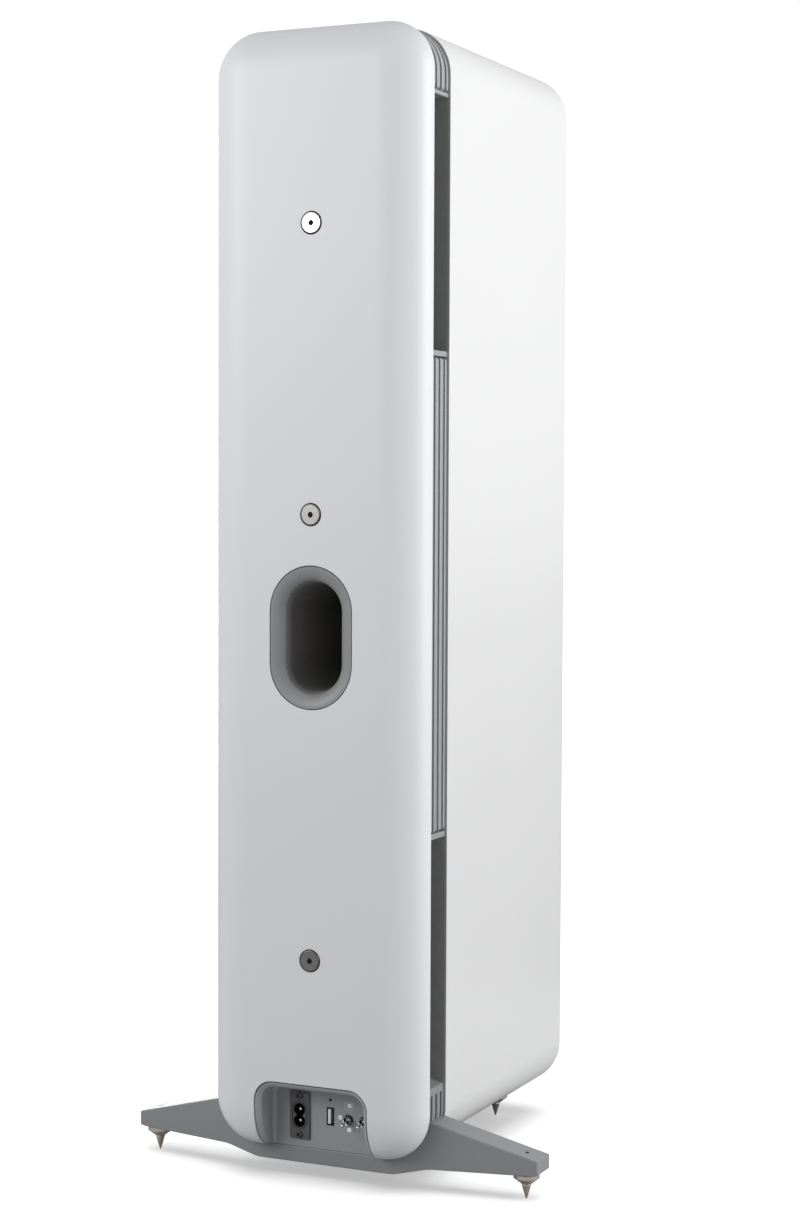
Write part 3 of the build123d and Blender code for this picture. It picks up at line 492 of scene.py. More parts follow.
# A darker copy of the bolt steel for the turned edge of each head: painted shade for the shadowed gap round
# it.
SHADED_STEEL_EDGE = material("steel_edge_painted_shade", (0.13, 0.12, 0.115), 0.3, 0.9, mottle=(0.08, 900), grain=(0.002, 3000))
SOCKET = material("bolt_socket", (0.17, 0.125, 0.095), 0.6, mottle=(0.1, 900), grain=(0.01, 3000))
NICKEL = material("spike_metal", (0.6, 0.545, 0.48), 0.4, 1.0, mottle=(0.03, 300), grain=(0.0006, 3500))
BLACK = material("black_moulding", (0.022, 0.022, 0.024), 0.38, mottle=(0.1, 300), grain=(0.01, 3000))
INLET = material("inlet_moulding", (0.1, 0.099, 0.102), 0.42, mottle=(0.06, 300), grain=(0.008, 3000))
DUCT = material("duct_moulding", (0.205, 0.2, 0.19), 0.72, mottle=(0.45, 900), grain=(0.16, 1500))
BRIGHT = material("bright_metal", (0.60, 0.59, 0.575), 0.16, 1.0, grain=(0.002, 4000))
SCREW = material("inlet_screw", (0.09, 0.09, 0.093), 0.28, 0.85, mottle=(0.1, 500), grain=(0.004, 3000))
BLACK_STEEL = material("black_steel", (0.035, 0.035, 0.037), 0.42, 0.7, mottle=(0.1, 500),
                       grain=(0.006, 3000))
TONGUE = material("tongue_moulding", (0.96, 0.95, 0.92), 0.4, mottle=(0.02, 500), grain=(0.004, 3000))
PRINT = material("printed_marks", (0.95, 0.95, 0.95), 0.5, grain=(0.002, 4000))
MAGNET = material("magnet", (0.11, 0.11, 0.12), 0.45, 0.6, mottle=(0.1, 300), grain=(0.01, 3000))
BAFFLE = material("baffle_paint", (0.045, 0.045, 0.047), 0.6, mottle=(0.08, 300), grain=(0.03, 1600))
PAPER = material("cone_paper", (0.045, 0.045, 0.048), 0.75, mottle=(0.2, 900), grain=(0.05, 2200), sheen=0.2)
RUBBER = material("surround_rubber", (0.025, 0.025, 0.026), 0.55, mottle=(0.08, 400), grain=(0.01, 2500))
DIAPHRAGM = material("diaphragm", (0.05, 0.05, 0.055), 0.5, mottle=(0.1, 800), grain=(0.02, 2600))
CIRCUIT = material("circuit_board", (0.02, 0.10, 0.05), 0.4, mottle=(0.1, 300), grain=(0.01, 3000))
CLOTH = material("grille_cloth", (0.44, 0.445, 0.45), 0.9, mottle=(0.12, 700), sheen=0.3, thread=0.9,
                 specular=0.2)
FIBRE = material("wadding", (0.78, 0.77, 0.74), 0.95, mottle=(0.08, 200), grain=(0.4, 500), sheen=0.3)

# Camera


def make_camera():
    yaw, pitch, roll = radians(24.75), radians(2.93), radians(0.23)
    forward = Vector((sin(yaw) * cos(pitch), -cos(yaw) * cos(pitch), -sin(pitch)))
    right = Vector((-cos(yaw), -sin(yaw), 0))
    up = right.cross(forward)
    rolled_right = right * cos(roll) + up * sin(roll)
    rolled_up = up * cos(roll) - right * sin(roll)
    data = bpy.data.cameras.new("camera")
    camera = placed("camera", data)
    turn = Matrix((rolled_right, rolled_up, -forward)).transposed().to_4x4()
    camera.matrix_world = Matrix.Translation((-0.7875, 1.70132, 0.51102)) @ turn
    data.sensor_width = 36.0
    data.lens = 70.57
    data.clip_start = 0.05
    data.clip_end = 60.0
    bpy.context.scene.camera = camera


make_camera()

# Cabinet


def cabinet_sleeve():
    """Lacquered sleeve with a rounded front edge. Its rear rim and inside are dark board."""
    edge, inside = 0.6, SLEEVE_FRONT_Y + 12
    outer = [(0.0, REBATE_Y)] + round_over(0.0, CABINET_REAR_Y, edge, 4, -1)
    front = [(0.0, SLEEVE_FRONT_Y + FRONT_EDGE_R + 30)] + round_over(0.0, SLEEVE_FRONT_Y, FRONT_EDGE_R, 12)
    front += [(WALL - 0.3, SLEEVE_FRONT_Y), (WALL, SLEEVE_FRONT_Y + 0.3), (WALL, inside)]
    inner = [(WALL, inside), (WALL, REBATE_Y), (REBATE_INSET, REBATE_Y)]
    inner += [(REBATE_INSET, CABINET_REAR_Y), (edge, CABINET_REAR_Y)]
    shape = Shape()
    shape.skin([at(outline(i), y) for i, y in outer[::-1] + front])
    shape.skin([at(outline(i), y) for i, y in inner], slot=1)
    make("cabinet_shell", shape, [WHITE, RIM], "cabinet_sleeve", angle=40)


# Finned spacer


def fin_profile(depth=GROOVE_DEPTH, edge=0.8):
    """Inset and depth round a spacer's section. The outer side has the grooves."""
    depth = max(depth, 0.02)
    bed, lip, half = SPACER_INSET + depth, min(edge, depth / 2), GROOVE_W / 2
    outer = [(SPACER_INSET + 0.5, SPACER_LOW_Y), (SPACER_INSET, SPACER_LOW_Y + 0.5)]
    for y in GROOVE_YS:
        for side in (-1, 1):
            rim = round_over(SPACER_INSET, y + side * half, lip, 4, side)
            foot = [(bed - lip * 0.6, y + side * half), (bed, y + side * (half - lip * 0.6))]
            outer += (rim + foot) if side < 0 else (foot[::-1] + rim[::-1])
    outer += [(SPACER_INSET, SPACER_HIGH_Y - 0.5), (SPACER_INSET + 0.5, SPACER_HIGH_Y)]
    inner = SPACER_INSET + SPACER_WALL
    outer += [(inner - 0.4, SPACER_HIGH_Y), (inner, SPACER_HIGH_Y - 0.4)]
    return outer + [(inner, SPACER_LOW_Y + 0.4), (inner - 0.4, SPACER_LOW_Y)]


def end_inset(distance, radius):
    """How far a rounded end has drawn in, that far from the end."""
    if distance >= radius:
        return 0.0
    return radius - sqrt(max(0.0, radius * radius - (radius - distance) ** 2))


def fins(name, rings, look):
    """The piece that stands for a spacer."""
    shape = Shape()
    shape.solid(rings)
    make(f"{name}_fins", shape, look, name, angle=42, merge=0.0005)


def swept(name, stations):
    """A finned piece along stations of (point, outward normal, distance from the nearer end)."""
    rings = []
    for (x, z), (nx, nz), distance in stations:
        least = SPACER_INSET + end_inset(distance, FIN_END_R)
        section = [(max(inset, least), y) for inset, y in fin_profile()]
        rings.append([(x - nx * inset, y, z - nz * inset) for inset, y in section])
    fins(name, rings, HEATSINK)


def heatsink(name, side):
    low, high = WINDOW_PLATES[0][1] + SPACER_GAP, WINDOW_PLATES[1][0] - SPACER_GAP
    zs = [low + d for d in END_STEPS] + steps(low + 12, high - 12, 16) + [high - d for d in END_STEPS[::-1]]
    swept(name, [((side * HALF, z), (side, 0.0), min(z - low, high - z)) for z in zs])


def spacer_arch():
    """Finned piece from above the upper window, over the top and down the other side."""
    low = WINDOW_PLATES[2][1] + SPACER_GAP
    stations = [((HALF, low + d), (1.0, 0.0), d) for d in END_STEPS]
    corner = zip(arc(CORNER_X, HIGH_CORNER_Z, CORNER_R, 0, 90, 24), arc(0, 0, 1, 0, 90, 24))
    stations += [(point, normal, FIN_END_R) for point, normal in corner]
    half = [((-x, z), (-nx, nz), distance) for (x, z), (nx, nz), distance in reversed(stations)]
    stations += [((x, TOP_Z), (0.0, 1.0), FIN_END_R) for x in (30.0, 0.0, -30.0)]
    swept("spacer_arch", stations + half)


def spacer_block(name, side):
    """Short finned block on the base, with grooves that run out and a top that slopes outward."""
    top, rise, run_out = 76.2, 2.8, 64.2
    heights = steps(ARM_ROOT_Z, LOW_CORNER_Z, 3)[:-1] + steps(LOW_CORNER_Z, run_out, 3)
    heights += steps(run_out, run_out + 6.7, 9)[1:] + [top - 0.9, top - 0.5, top - 0.2, top]
    rings = []
    for z in heights:
        swing = max(0.0, z - run_out)
        depth = sqrt(max(0.0, GROOVE_SWEEP_R ** 2 - swing ** 2)) - GROOVE_SWEEP_R + GROOVE_DEPTH
        drop = max(0.0, LOW_CORNER_Z - z)
        curve = CORNER_R - sqrt(CORNER_R ** 2 - drop ** 2)
        least = SPACER_INSET + end_inset(top - z, 1.6)
        ring = []
        for inset, y in fin_profile(depth, 0.7):
            lift = rise * (inset - SPACER_INSET) / SPACER_WALL * (z - ARM_ROOT_Z) / (top - ARM_ROOT_Z)
            ring.append((side * (HALF - max(inset, least) - curve), y, z + lift))
        rings.append(ring)
    fins(name, rings, CASTING)


def window_end_plates():
    shape = Shape()
    outer = HALF - SPACER_INSET
    inner = outer - SPACER_WALL
    for low, high in WINDOW_PLATES:
        for a, b in ((-outer, -inner), (inner, outer)):
            box(shape, (a, SPACER_LOW_Y, low + 0.05), (b, SPACER_HIGH_Y, high - 0.05))
    make("window_plates", shape, HEATSINK, "window_end_plates", bevel=0.5)


# Rear cover


def cover_profile(inset):
    """Inset and depth from the cover's front edge to its flat rear."""
    run, rise = COVER_EDGE_RUN - inset, COVER_EDGE_RISE - inset
    turns = [radians(a) for a in steps(0, 90, 22)]
    rows = [(inset + run * (1 - cos(a)), REAR_Y - COVER_EDGE_RISE + rise * sin(a)) for a in turns]
    return [(inset, COVER_FRONT_Y)] + rows


def rear_cover():
    """Moulded cover with one wall thickness all over, open at the foot round the panel. A narrow band
    of faces goes round the cutout and each hole."""
    shape = Shape()
    margin, bands = 0.8, (0.0, BAND_W)
    low = BOTTOM_Z + COVER_EDGE_RUN + margin
    edges = []
    for inset, rear in ((0.0, REAR_Y), (COVER_WALL, REAR_Y - COVER_WALL)):
        rows = cover_profile(inset) + [(COVER_EDGE_RUN + margin, rear)]
        ids = shape.skin([at(outline(i)[2:-1], y) for i, y in rows], closed=False)
        cut, near = (shape.ring(at(arch(CUTOUT_HALF + b, CUTOUT_TOP_Z + b, CUTOUT_R + b, low), rear))
                     for b in bands)
        shape.strip(cut, near, closed=False)
        loops = [ids[-1][1:-1] + near[::-1]]
        holes = []
        pairs = [[stadium(0, PORT_Z, PORT_HOLE_R + b, PORT_HALF_RUN + PORT_LIP_RUN) for b in bands]]
        pairs += [[circle(0, z, BOLT_RECESS_R + b) for b in bands] for z in BOLT_ZS]
        for pair in pairs:
            hole, around = (shape.ring(at(points, rear)) for points in pair)
            shape.strip(hole, around)
            holes.append(hole)
            loops.append(around)
        shape.fill(loops)
        foot = [row[0] for row in ids] + cut[1:-1] + [row[-1] for row in reversed(ids)]
        edges.append((ids[0], foot, holes))
    (rim, foot, holes), (inner_rim, inner_foot, inner_holes) = edges
    shape.strip(rim, inner_rim, closed=False)
    shape.strip(foot, inner_foot, closed=False)
    for outer, inner in zip(holes, inner_holes):
        shape.strip(outer, inner)
    make("cover_shell", shape, COVER, "rear_cover", bevel=0.5, angle=50)
    bosses = Shape()
    profile = [(4.3, 136.0), (4.3, BOLT_SEAT_Y), (BOLT_RECESS_R, BOLT_SEAT_Y)]
    profile += [(BOLT_RECESS_R + 0.02, REAR_Y - COVER_WALL), (13.0, REAR_Y - COVER_WALL)]
    profile += [(13.0, 136.6), (12.4, 136.0)]
    for z in BOLT_ZS:
        lathe(bosses, profile, (0, 0, z), closed=True)
    make("cover_bosses", bosses, COVER, angle=40)


def cover_bolts():
    """Polished bolt heads with a turned edge and a hexagon socket. The turned edge, side and shank take a
    darker copy of the steel: painted shade.
    """
    shape = Shape()
    under, end = BOLT_TOP_Y - 0.1, 122.0
    profile = [(BOLT_FACE_R, BOLT_TOP_Y)] + arc(7.1, BOLT_TOP_Y - 0.9, 0.9, 90, 0, 6)
    profile += [(8.0, BOLT_SEAT_Y), (4.0, BOLT_SEAT_Y), (4.0, end + 0.6), (3.4, end), (0.0, end)]
    for z in BOLT_ZS:
        socket = hexagon(0, z, BOLT_KEY)
        slab(shape, [circle(0, z, BOLT_FACE_R, 64), socket], under, BOLT_TOP_Y, (0.0, 0.0), back=False)
        # The turned edge, side and shank take the darker steel copy: painted shade.
        lathe(shape, profile, (0, 0, z), count=64, slot=1)
        shape.cup([at(socket, under), at(socket, BOLT_TOP_Y - 4.0)], slot=2)
    make("cover_bolt_heads", shape, [STEEL, SHADED_STEEL_EDGE, SOCKET], "cover_bolts", angle=30)


# Reflex port


def port_rings(rows, lip_run=0.0):
    """Slot-shaped rings from rows of radius and depth. The widest are longer by lip_run."""
    return [at(stadium(0, PORT_Z, r, PORT_HALF_RUN + lip_run * (r > 30)), y) for r, y in rows]


def reflex_port():
    """Flared mouth, dark in its throat, and the tube behind it with a flange and a rounded end."""
    flare = Shape()
    mouth, seam, neck = 147.8, 118.2, 25.0
    rows = [(neck, seam), (neck, 134.0), (32.75, 134.0), (32.75, mouth - 0.35), (32.68, mouth - 0.1)]
    bell = arc(PORT_R + PORT_FLARE_R, mouth - PORT_FLARE_R, PORT_FLARE_R, 90, 180, 16)
    flare.skin(port_rings(rows + bell[:11], PORT_LIP_RUN))
    throat = bell[10:] + [(PORT_R, 128.0), (PORT_R, seam), (neck, seam)]
    flare.skin(port_rings(throat), slot=1)
    make("port_mouth", flare, [MOULDING, DUCT], "port_flare", angle=40)
    tube = Shape()
    outer, end, joint = 24.0, -10.0, 118.0
    rows = [(PORT_R, joint), (PORT_R, 60.0), (PORT_R, end + 1), (21.3, end + 0.3), (22.5, end)]
    rows += [(23.7, end + 0.3), (outer, end + 1), (outer, 60.0), (outer, CABINET_REAR_Y)]
    rows += [(32.0, CABINET_REAR_Y), (32.0, CABINET_REAR_Y + 3), (outer, CABINET_REAR_Y + 3), (outer, joint)]
    tube.skin(port_rings(rows), joined=True)
    make("port_duct", tube, DUCT, "port_tube", angle=40)


# Connection panel


def lip_y(z):
    """Depth of the liner's outer face at a height. It follows the cover, just below its surface."""
    recess = 0.7
    away = max(0.0, BOTTOM_Z + COVER_EDGE_RUN - z) / (COVER_EDGE_RUN - recess)
    domed = REAR_Y - COVER_EDGE_RISE + (COVER_EDGE_RISE - recess) * sqrt(max(0.0, 1 - away * away))
    return max(domed, PANEL_Y + 0.9)


def liner_edge(inset=0.0):
    """The liner's outer edge, drawn in by inset."""
    half, top, radius = (v - LIP_GAP - inset for v in (CUTOUT_HALF, CUTOUT_TOP_Z, CUTOUT_R))
    return arch(half, top, radius, BOTTOM_Z + 0.3, count=18, leg=40)


def io_surround():
    """Liner with a raised lip round the cutout, and a black strip in the gap between it and the cover:
    painted shadow for that gap.
    """
    path, back = liner_edge(), PANEL_Y - 2.4
    rings = []
    for i, (x, z) in enumerate(path):
        run = (Vector(path[min(len(path) - 1, i + 1)]) - Vector(path[max(0, i - 1)])).normalized()
        face = lip_y(z)
        drop = min(3.0, max(0.5, face - PANEL_Y - 0.5))
        foot = min(2.6, max(0.05, face - drop - PANEL_Y - 0.1))
        rows = [(0.7, back), (0.7, face - 0.3), (0.8, face - 0.08), (1.05, face), (1.3, face - 0.1)]
        rows += [(LIP_W - 0.5, face - drop + 0.25), (LIP_W - 0.1, face - drop - 0.1)]
        rows += [(LIP_W, face - drop - 0.4)] + round_over(LIP_W, PANEL_Y, foot, 6)
        rows += [(LIP_W + foot + 0.05, PANEL_Y - 0.05), (LIP_W, back)]
        rings.append([(x - run.y * inset, y, z + run.x * inset) for inset, y in rows])
    shape = Shape()
    shape.solid(rings)
    make("panel_liner", shape, LINER, "io_surround", angle=40)
    # Black strip set just inside the gap round the liner: painted shadow.
    gap_shadow = Shape()
    rings = []
    for inset, drop in ((-0.75, 3.6), (-0.75, 0.75), (0.38, 0.75), (0.38, 3.6)):
        rings.append([(x, lip_y(z) - drop, z) for x, z in liner_edge(inset)[44:]])
    gap_shadow.skin(rings, closed=False, joined=True)
    make("panel_gap_shadow", gap_shadow, BLACK, angle=40)


def figure_eight():
    """The outline of the two-pole mains socket, waisted between its two round halves."""
    radius, neck = 4.8, 2.6
    start = -degrees(acos(neck / radius))
    upper = arc(INLET_X, INLET_Z + PIN_PITCH / 2, radius, start, 180 - start, 20)
    return upper + [(2 * INLET_X - x, 2 * INLET_Z - z) for x, z in upper]


def inlet_screw_holes():
    return [circle(INLET_X, INLET_Z + s * INLET_SCREW_RUN, 1.3, 16) for s in (-1, 1)]


def connection_panel():
    """Flat plate with its openings, the gaskets behind two of them, and the printed marks."""
    half, top, radius = (v - LIP_GAP - LIP_W for v in (CUTOUT_HALF, CUTOUT_TOP_Z, CUTOUT_R))
    holes = [rounded(INLET_X, INLET_Z, *INLET_BODY), rounded(USB_X, USB_Z, 6.2, 13.6, 0.6, 3)]
    holes += [circle(*SETUP_HOLE, 1.25, 24)]
    holes += [circle(x, TOGGLE_Z, TOGGLE_HOLE_R, 32) for x in TOGGLES.values()] + inlet_screw_holes()
    loops = [arch(half, top, radius, BOTTOM_Z + 0.25, leg=2)] + holes
    shape = slab(Shape(), loops, PANEL_Y - 2.5, PANEL_Y, [0.0] + [0.15] * len(holes))
    make("connection_plate", shape, PANEL, "io_panel", angle=30)

    collars = Shape()
    for loops in ([rounded(USB_X, USB_Z, 7.6, 15.0, 0.8, 3), rounded(USB_X, USB_Z, 5.75, 13.15, 0.5, 3)],
                  [circle(*SETUP_HOLE, 2.4, 24), circle(*SETUP_HOLE, 0.95, 24)]):
        slab(collars, loops, PANEL_Y - 3.4, PANEL_Y - 2.55, (0.1, 0.1))
    make("port_gaskets", collars, BLACK, angle=30)

    marks = Shape()
    prints = [[rounded(x, z, 3.0, 3.0, 0.25, 2)] for x, z in ((-21.0, 58.0), (-13.4, 48.6), (-20.8, 40.1))]
    prints.append([rounded(-20.4, 57.6, 6.6, 5.8, 0.4, 2), rounded(-20.4, 57.6, 6.3, 5.5, 0.3, 2)])
    for loops in prints:
        slab(marks, loops, PANEL_Y - 0.02, PANEL_Y + 0.04, (0.01, 0.01), back=False)
    make("panel_marks", marks, PRINT, angle=30)


def cross_headed(shape, x, z, seat):
    """Pan-head screw with a cross recess."""
    radius, height, length, turn = 2.7, 1.3, 6.0, 25.0
    arm, half, shank = radius * 0.6, radius * 0.15, radius * 0.48
    top, end = seat + height, seat - length
    cross = []
    for k in range(4):
        a = radians(turn + 90 * k)
        for u, v in ((half, -half), (arm, -half), (arm, half)):
            cross.append((x + u * cos(a) - v * sin(a), z + u * sin(a) + v * cos(a)))
    slab(shape, [circle(x, z, radius, 32), cross], seat, top, (height * 0.6, 0.05), back=False)
    shape.fill([shape.ring(at(cross, top - height * 0.55))])
    rows = ((radius, seat), (shank, seat), (shank, end), (radius * 0.2, end - 0.6))
    shape.cup([at(circle(x, z, r, 24), y) for r, y in rows])


def mains_inlet():
    """Two-pole socket on a screwed plate, with its round pins."""
    face = PANEL_Y + 1.5
    shape = Shape()
    plate = rounded(INLET_X, INLET_Z, 16.5, 35.8, 1.6)
    loops = [plate, figure_eight()] + inlet_screw_holes()
    slab(shape, loops, face - 0.5, face, (0.4, 0.0, 0.2, 0.2), back=False)
    # The plate's side wall is black, not the plate's grey: painted shade for the dark line along the plate's
    # edge.
    shape.skin([at(plate, PANEL_Y + 0.02), at(plate, face - 0.5)], slot=1)
    collar = [stadium(INLET_X, INLET_Z, r, PIN_PITCH / 2, 16, 2) for r in (6.2, 5.5)]
    slab(shape, collar, face - 0.2, face + 0.7, (0.3, 0.25), back=False)
    shape.cup([at(figure_eight(), face), at(figure_eight(), face - 12.0)], slot=1)
    shape.cup([at(rounded(INLET_X, INLET_Z, *INLET_BODY), y) for y in (PANEL_Y, 106.0)])
    make("mains_socket", shape, [INLET, BLACK], "mains_inlet")
    pins, screws = Shape(), Shape()
    tip, pin_r, plated = PANEL_Y + 0.3, 1.2, 4.0
    turns = [radians(a) for a in steps(0, 90, 5)]
    nose = [(0.0, tip), (0.5, tip - 0.05)] + [(0.6 + 0.6 * sin(a), tip - 0.8 + 0.72 * cos(a)) for a in turns]
    nose += [(pin_r, tip - plated)]
    for s in (-1, 1):
        centre = (INLET_X, 0, INLET_Z + s * PIN_PITCH / 2)
        lathe(pins, nose, centre, count=24)
        lathe(pins, [(pin_r, tip - plated), (pin_r, 104.0), (0.0, 104.0)], centre, count=24, slot=1)
        cross_headed(screws, INLET_X, INLET_Z + s * INLET_SCREW_RUN, face)
    make("mains_blades", pins, [BRIGHT, BLACK_STEEL], "mains_pins", angle=40)
    make("inlet_screws", screws, SCREW, "mains_inlet_screws")


def usb_socket():
    """Metal can with a pale tongue and four contacts."""
    shell = Shape()
    outer, inner = rounded(USB_X, USB_Z, 5.7, 13.1, 0.5, 4), rounded(USB_X, USB_Z, 4.9, 12.3, 0.25, 4)
    low, bed = PANEL_Y - 0.3, 110.0
    slab(shell, [outer, inner], low, PANEL_Y + 0.4, (0.12, 0.12), back=False)
    shell.cup([at(inner, low), at(inner, bed)], slot=1)
    shell.cup([at(outer, low), at(outer, bed - 1)], slot=1)
    make("usb_can", shell, [BLACK_STEEL, BLACK], "usb_shell")
    tongue = slab(Shape(), [rounded(USB_X + 0.9, USB_Z, 2.2, 11.0, 0.3, 4)], bed, PANEL_Y + 0.1, (0.3,))
    for v in steps(-3.75, 3.75, 3):
        z = USB_Z + v
        box(tongue, (USB_X - 0.28, bed + 2, z - 0.4), (USB_X - 0.15, PANEL_Y - 4.5, z + 0.4), slot=1)
    make("usb_insert", tongue, [TONGUE, BRIGHT], "usb_tongue")


def toggle(name, x):
    """Switch body, its threaded bush and a bat lever with a round tip."""
    bush = Shape()
    root, bore, thread_r = 121.5, 2.3, 3.0
    slab(bush, [rounded(x, TOGGLE_Z, 8.0, 12.8, 0.8)], 109.0, root, (0.3,), slot=1)
    profile = [(bore, root - 0.5), (bore, 128.05), (2.5, 128.3), (2.75, 128.4)]
    for ridge in steps(127.9, 126.3, 4):
        profile += [(thread_r, ridge), (2.82, ridge - 0.2)]
    profile += [(thread_r, 125.6), (thread_r, root), (bore, root - 0.5)]
    lathe(bush, profile, (x, 0, TOGGLE_Z), count=40)
    make(f"{name}_bush", bush, [BRIGHT, BLACK], f"{name}_switch_body", angle=30)
    aim = radians(TOGGLE_THROW)
    profile = [(0.0, -1.6)] + arc(0.0, 0.0, 1.6, -75, 50, 10) + [(0.86, 2.0), (0.9, 4.0), (1.0, 6.4)]
    profile += arc(0.0, 9.0, 1.5, -50, 75, 12) + [(0.0, 10.5)]
    lever = lathe(Shape(), profile, (x, TOGGLE_PIVOT_Y, TOGGLE_Z), (0, cos(aim), -sin(aim)), 32)
    make(f"{name}_lever", lever, BRIGHT, f"{name}_switch_lever", f"{name}_lever", angle=40)


def switch_nuts():
    shape = Shape()
    for x in TOGGLES.values():
        loops = [hexagon(x, TOGGLE_Z, 7.0, turn=10), circle(x, TOGGLE_Z, TOGGLE_HOLE_R, 32)]
        slab(shape, loops, PANEL_Y + 0.01, PANEL_Y + 1.6, (0.25, 0.2), back=False)
    make("bush_nuts", shape, BLACK_STEEL, "switch_nuts")


# Outrigger base


def along(x, knots):
    """Straight-line value between knots of (x, value)."""
    for (a, p), (b, q) in zip(knots, knots[1:]):
        if x <= b:
            return p + (q - p) * max(0.0, x - a) / (b - a)
    return knots[-1][1]


def bent(x, knots, bend_x, reach):
    """The same, with the bend at one knot eased over reach to each side."""
    if abs(x - bend_x) >= reach:
        return along(x, knots)
    left, right = along(bend_x - reach, knots), along(bend_x + reach, knots)
    middle = along(bend_x, knots)
    t = (x - bend_x + reach) / (2 * reach)
    return (1 - t) ** 2 * left + 2 * t * (1 - t) * middle + t * t * right


def base_bar():
    """Cast cradle and two swept arms, as columns from one tip to the other."""
    half = [0.0, 24.0, 43.0, CRADLE_HALF, 51.0, 53.0, 55.0, 57.4, 59.0, 61.0, 70.0, 79.0, 81.0, 83.0, 85.0]
    half += [HALF, 87.0] + steps(95.0, 160.0, 7) + [163.0, ARM_END_X]
    columns = []
    for x in [-x for x in reversed(half)] + half[1:]:
        reach = abs(x)
        low = bent(reach, UNDER, 56.0, 5.0) if reach < 69 else bent(reach, UNDER, 83.0, 4.0)
        back, rear = along(reach, BACK), along(reach, REAR)
        tops = [BOTTOM_Z if reach < CRADLE_HALF else along(reach, UPPER)]
        if reach == CRADLE_HALF:
            tops = [BOTTOM_Z, ARM_ROOT_Z] if x > 0 else [ARM_ROOT_Z, BOTTOM_Z]
        columns += [[(x, back, low), (x, rear, low), (x, rear, top), (x, back, top)] for top in tops]
    shape = Shape()
    ids = shape.skin(columns)
    shape.face(ids[0][::-1])
    shape.face(ids[-1])
    piece = make("outrigger_base", shape, CASTING, "base_bar", bevel=0.9, segments=4,
                 angle=30)
    profile = [(0.0, 26.0), (1.9, 26.0), (1.9, 40.0), (0.0, 40.0)]
    cutters = []
    for end in ("rear_left", "rear_right"):
        hole = lathe(Shape(), profile, (*SPIKES[end], 0), UP, 28)
        cutters.append(make("cutter", hole, CASTING))
        cutters[-1].modifiers.clear()
    drill(piece, cutters)


def spikes():
    """Threaded spikes and their collars, with pads above the front two and key holes above the rear."""
    spike = [(0.0, 0.0), (0.35, 0.02), (0.5, 0.25), (3.55, 10.35), (3.7, 10.6), (3.6, 10.8), (3.0, 10.8)]
    for level in steps(11.2, 24.7, 27):
        spike += [(3.0, level), (2.8, level + 0.25)]
    spike += [(3.0, 25.5), (2.5, 26.0), (0.0, 26.0)]
    bush = [(3.08, 11.0), (3.8, 11.0), (3.95, 11.12), (9.4, 15.35), (9.6, 15.6), (9.6, 18.4), (9.45, 18.6)]
    bush += [(5.0, 18.6), (5.0, 27.0), (3.08, 27.0)]
    pad = [(5.05, 18.62), (11.0, 18.6), (11.7, 18.9), (12.0, 19.6), (12.0, 22.9), (5.05, 22.9)]
    key_hole = [(0.0, 27.4), (1.1, 27.5), (1.2, 28.8), (1.88, 29.2), (1.88, 33.3)]
    bushes, feet, sockets = Shape(), Shape(), Shape()
    for name, place in SPIKES.items():
        origin = (*place, 0)
        shape = lathe(Shape(), spike, origin, UP)
        make(f"spike_{name}_cone", shape, NICKEL, f"spike_{name}", f"{name}_spike")
        lathe(bushes, bush, origin, UP, 64, closed=True)
        if name.startswith("front"):
            lathe(feet, pad, origin, UP, 64, closed=True)
        else:
            lathe(sockets, key_hole, origin, UP, 28)
    make("key_hole_liners", sockets, BLACK)
    make("spike_collars", bushes, NICKEL, "spike_bushes")
    make("front_pads", feet, CASTING, "front_feet")


cabinet_sleeve()
for name, side in (("left", 1), ("right", -1)):
    heatsink(f"heatsink_{name}", side)
spacer_arch()
for name, side in (("left", 1), ("right", -1)):
    spacer_block(f"spacer_block_{name}", side)
window_end_plates()
rear_cover()
cover_bolts()
reflex_port()
io_surround()
connection_panel()
mains_inlet()
usb_socket()
for name, x in TOGGLES.items():
    toggle(name, x)
switch_nuts()
base_bar()
spikes()

# Soft pieces


def grille_cloth():
    """Cloth pulled over the grille frame. It dips a little between the ribs behind it."""
    ribs = (TOP_Z - 24.0, 628.0, 430.0, 225.0, BOTTOM_Z + 24.0)
    inset, front, sag = WALL + 0.45, FRONT_Y + 0.05, 0.45
    rows = [(inset, front + 1.9)] + round_over(inset, front, 1.6, 6)
    rings = [at(outline(i), y) for i, y in rows]
    flat_inset = rows[-1][0]
    for t in steps(0, 1, 16)[1:]:
        ring = []
        for x, z in outline(flat_inset):
            spot = Vector((x, z)).lerp(Vector((0.0, min(max(z, LOW_CORNER_Z), HIGH_CORNER_Z))), t)
            high, below = next((pair for pair in zip(ribs, ribs[1:]) if spot.y >= pair[1]), ribs[-2:])
            across = max(0.0, 1 - (spot.x / (HALF - flat_inset)) ** 2)
            dip = sag * across * max(0.0, sin(pi * (spot.y - below) / (high - below)))
            ring.append((spot.x, front + dip, spot.y))
        rings.append(ring)
    shape = Shape()
    shape.skin(rings)
    piece = make("grille_cloth", shape, CLOTH, "grille_fabric", "grille", angle=60)


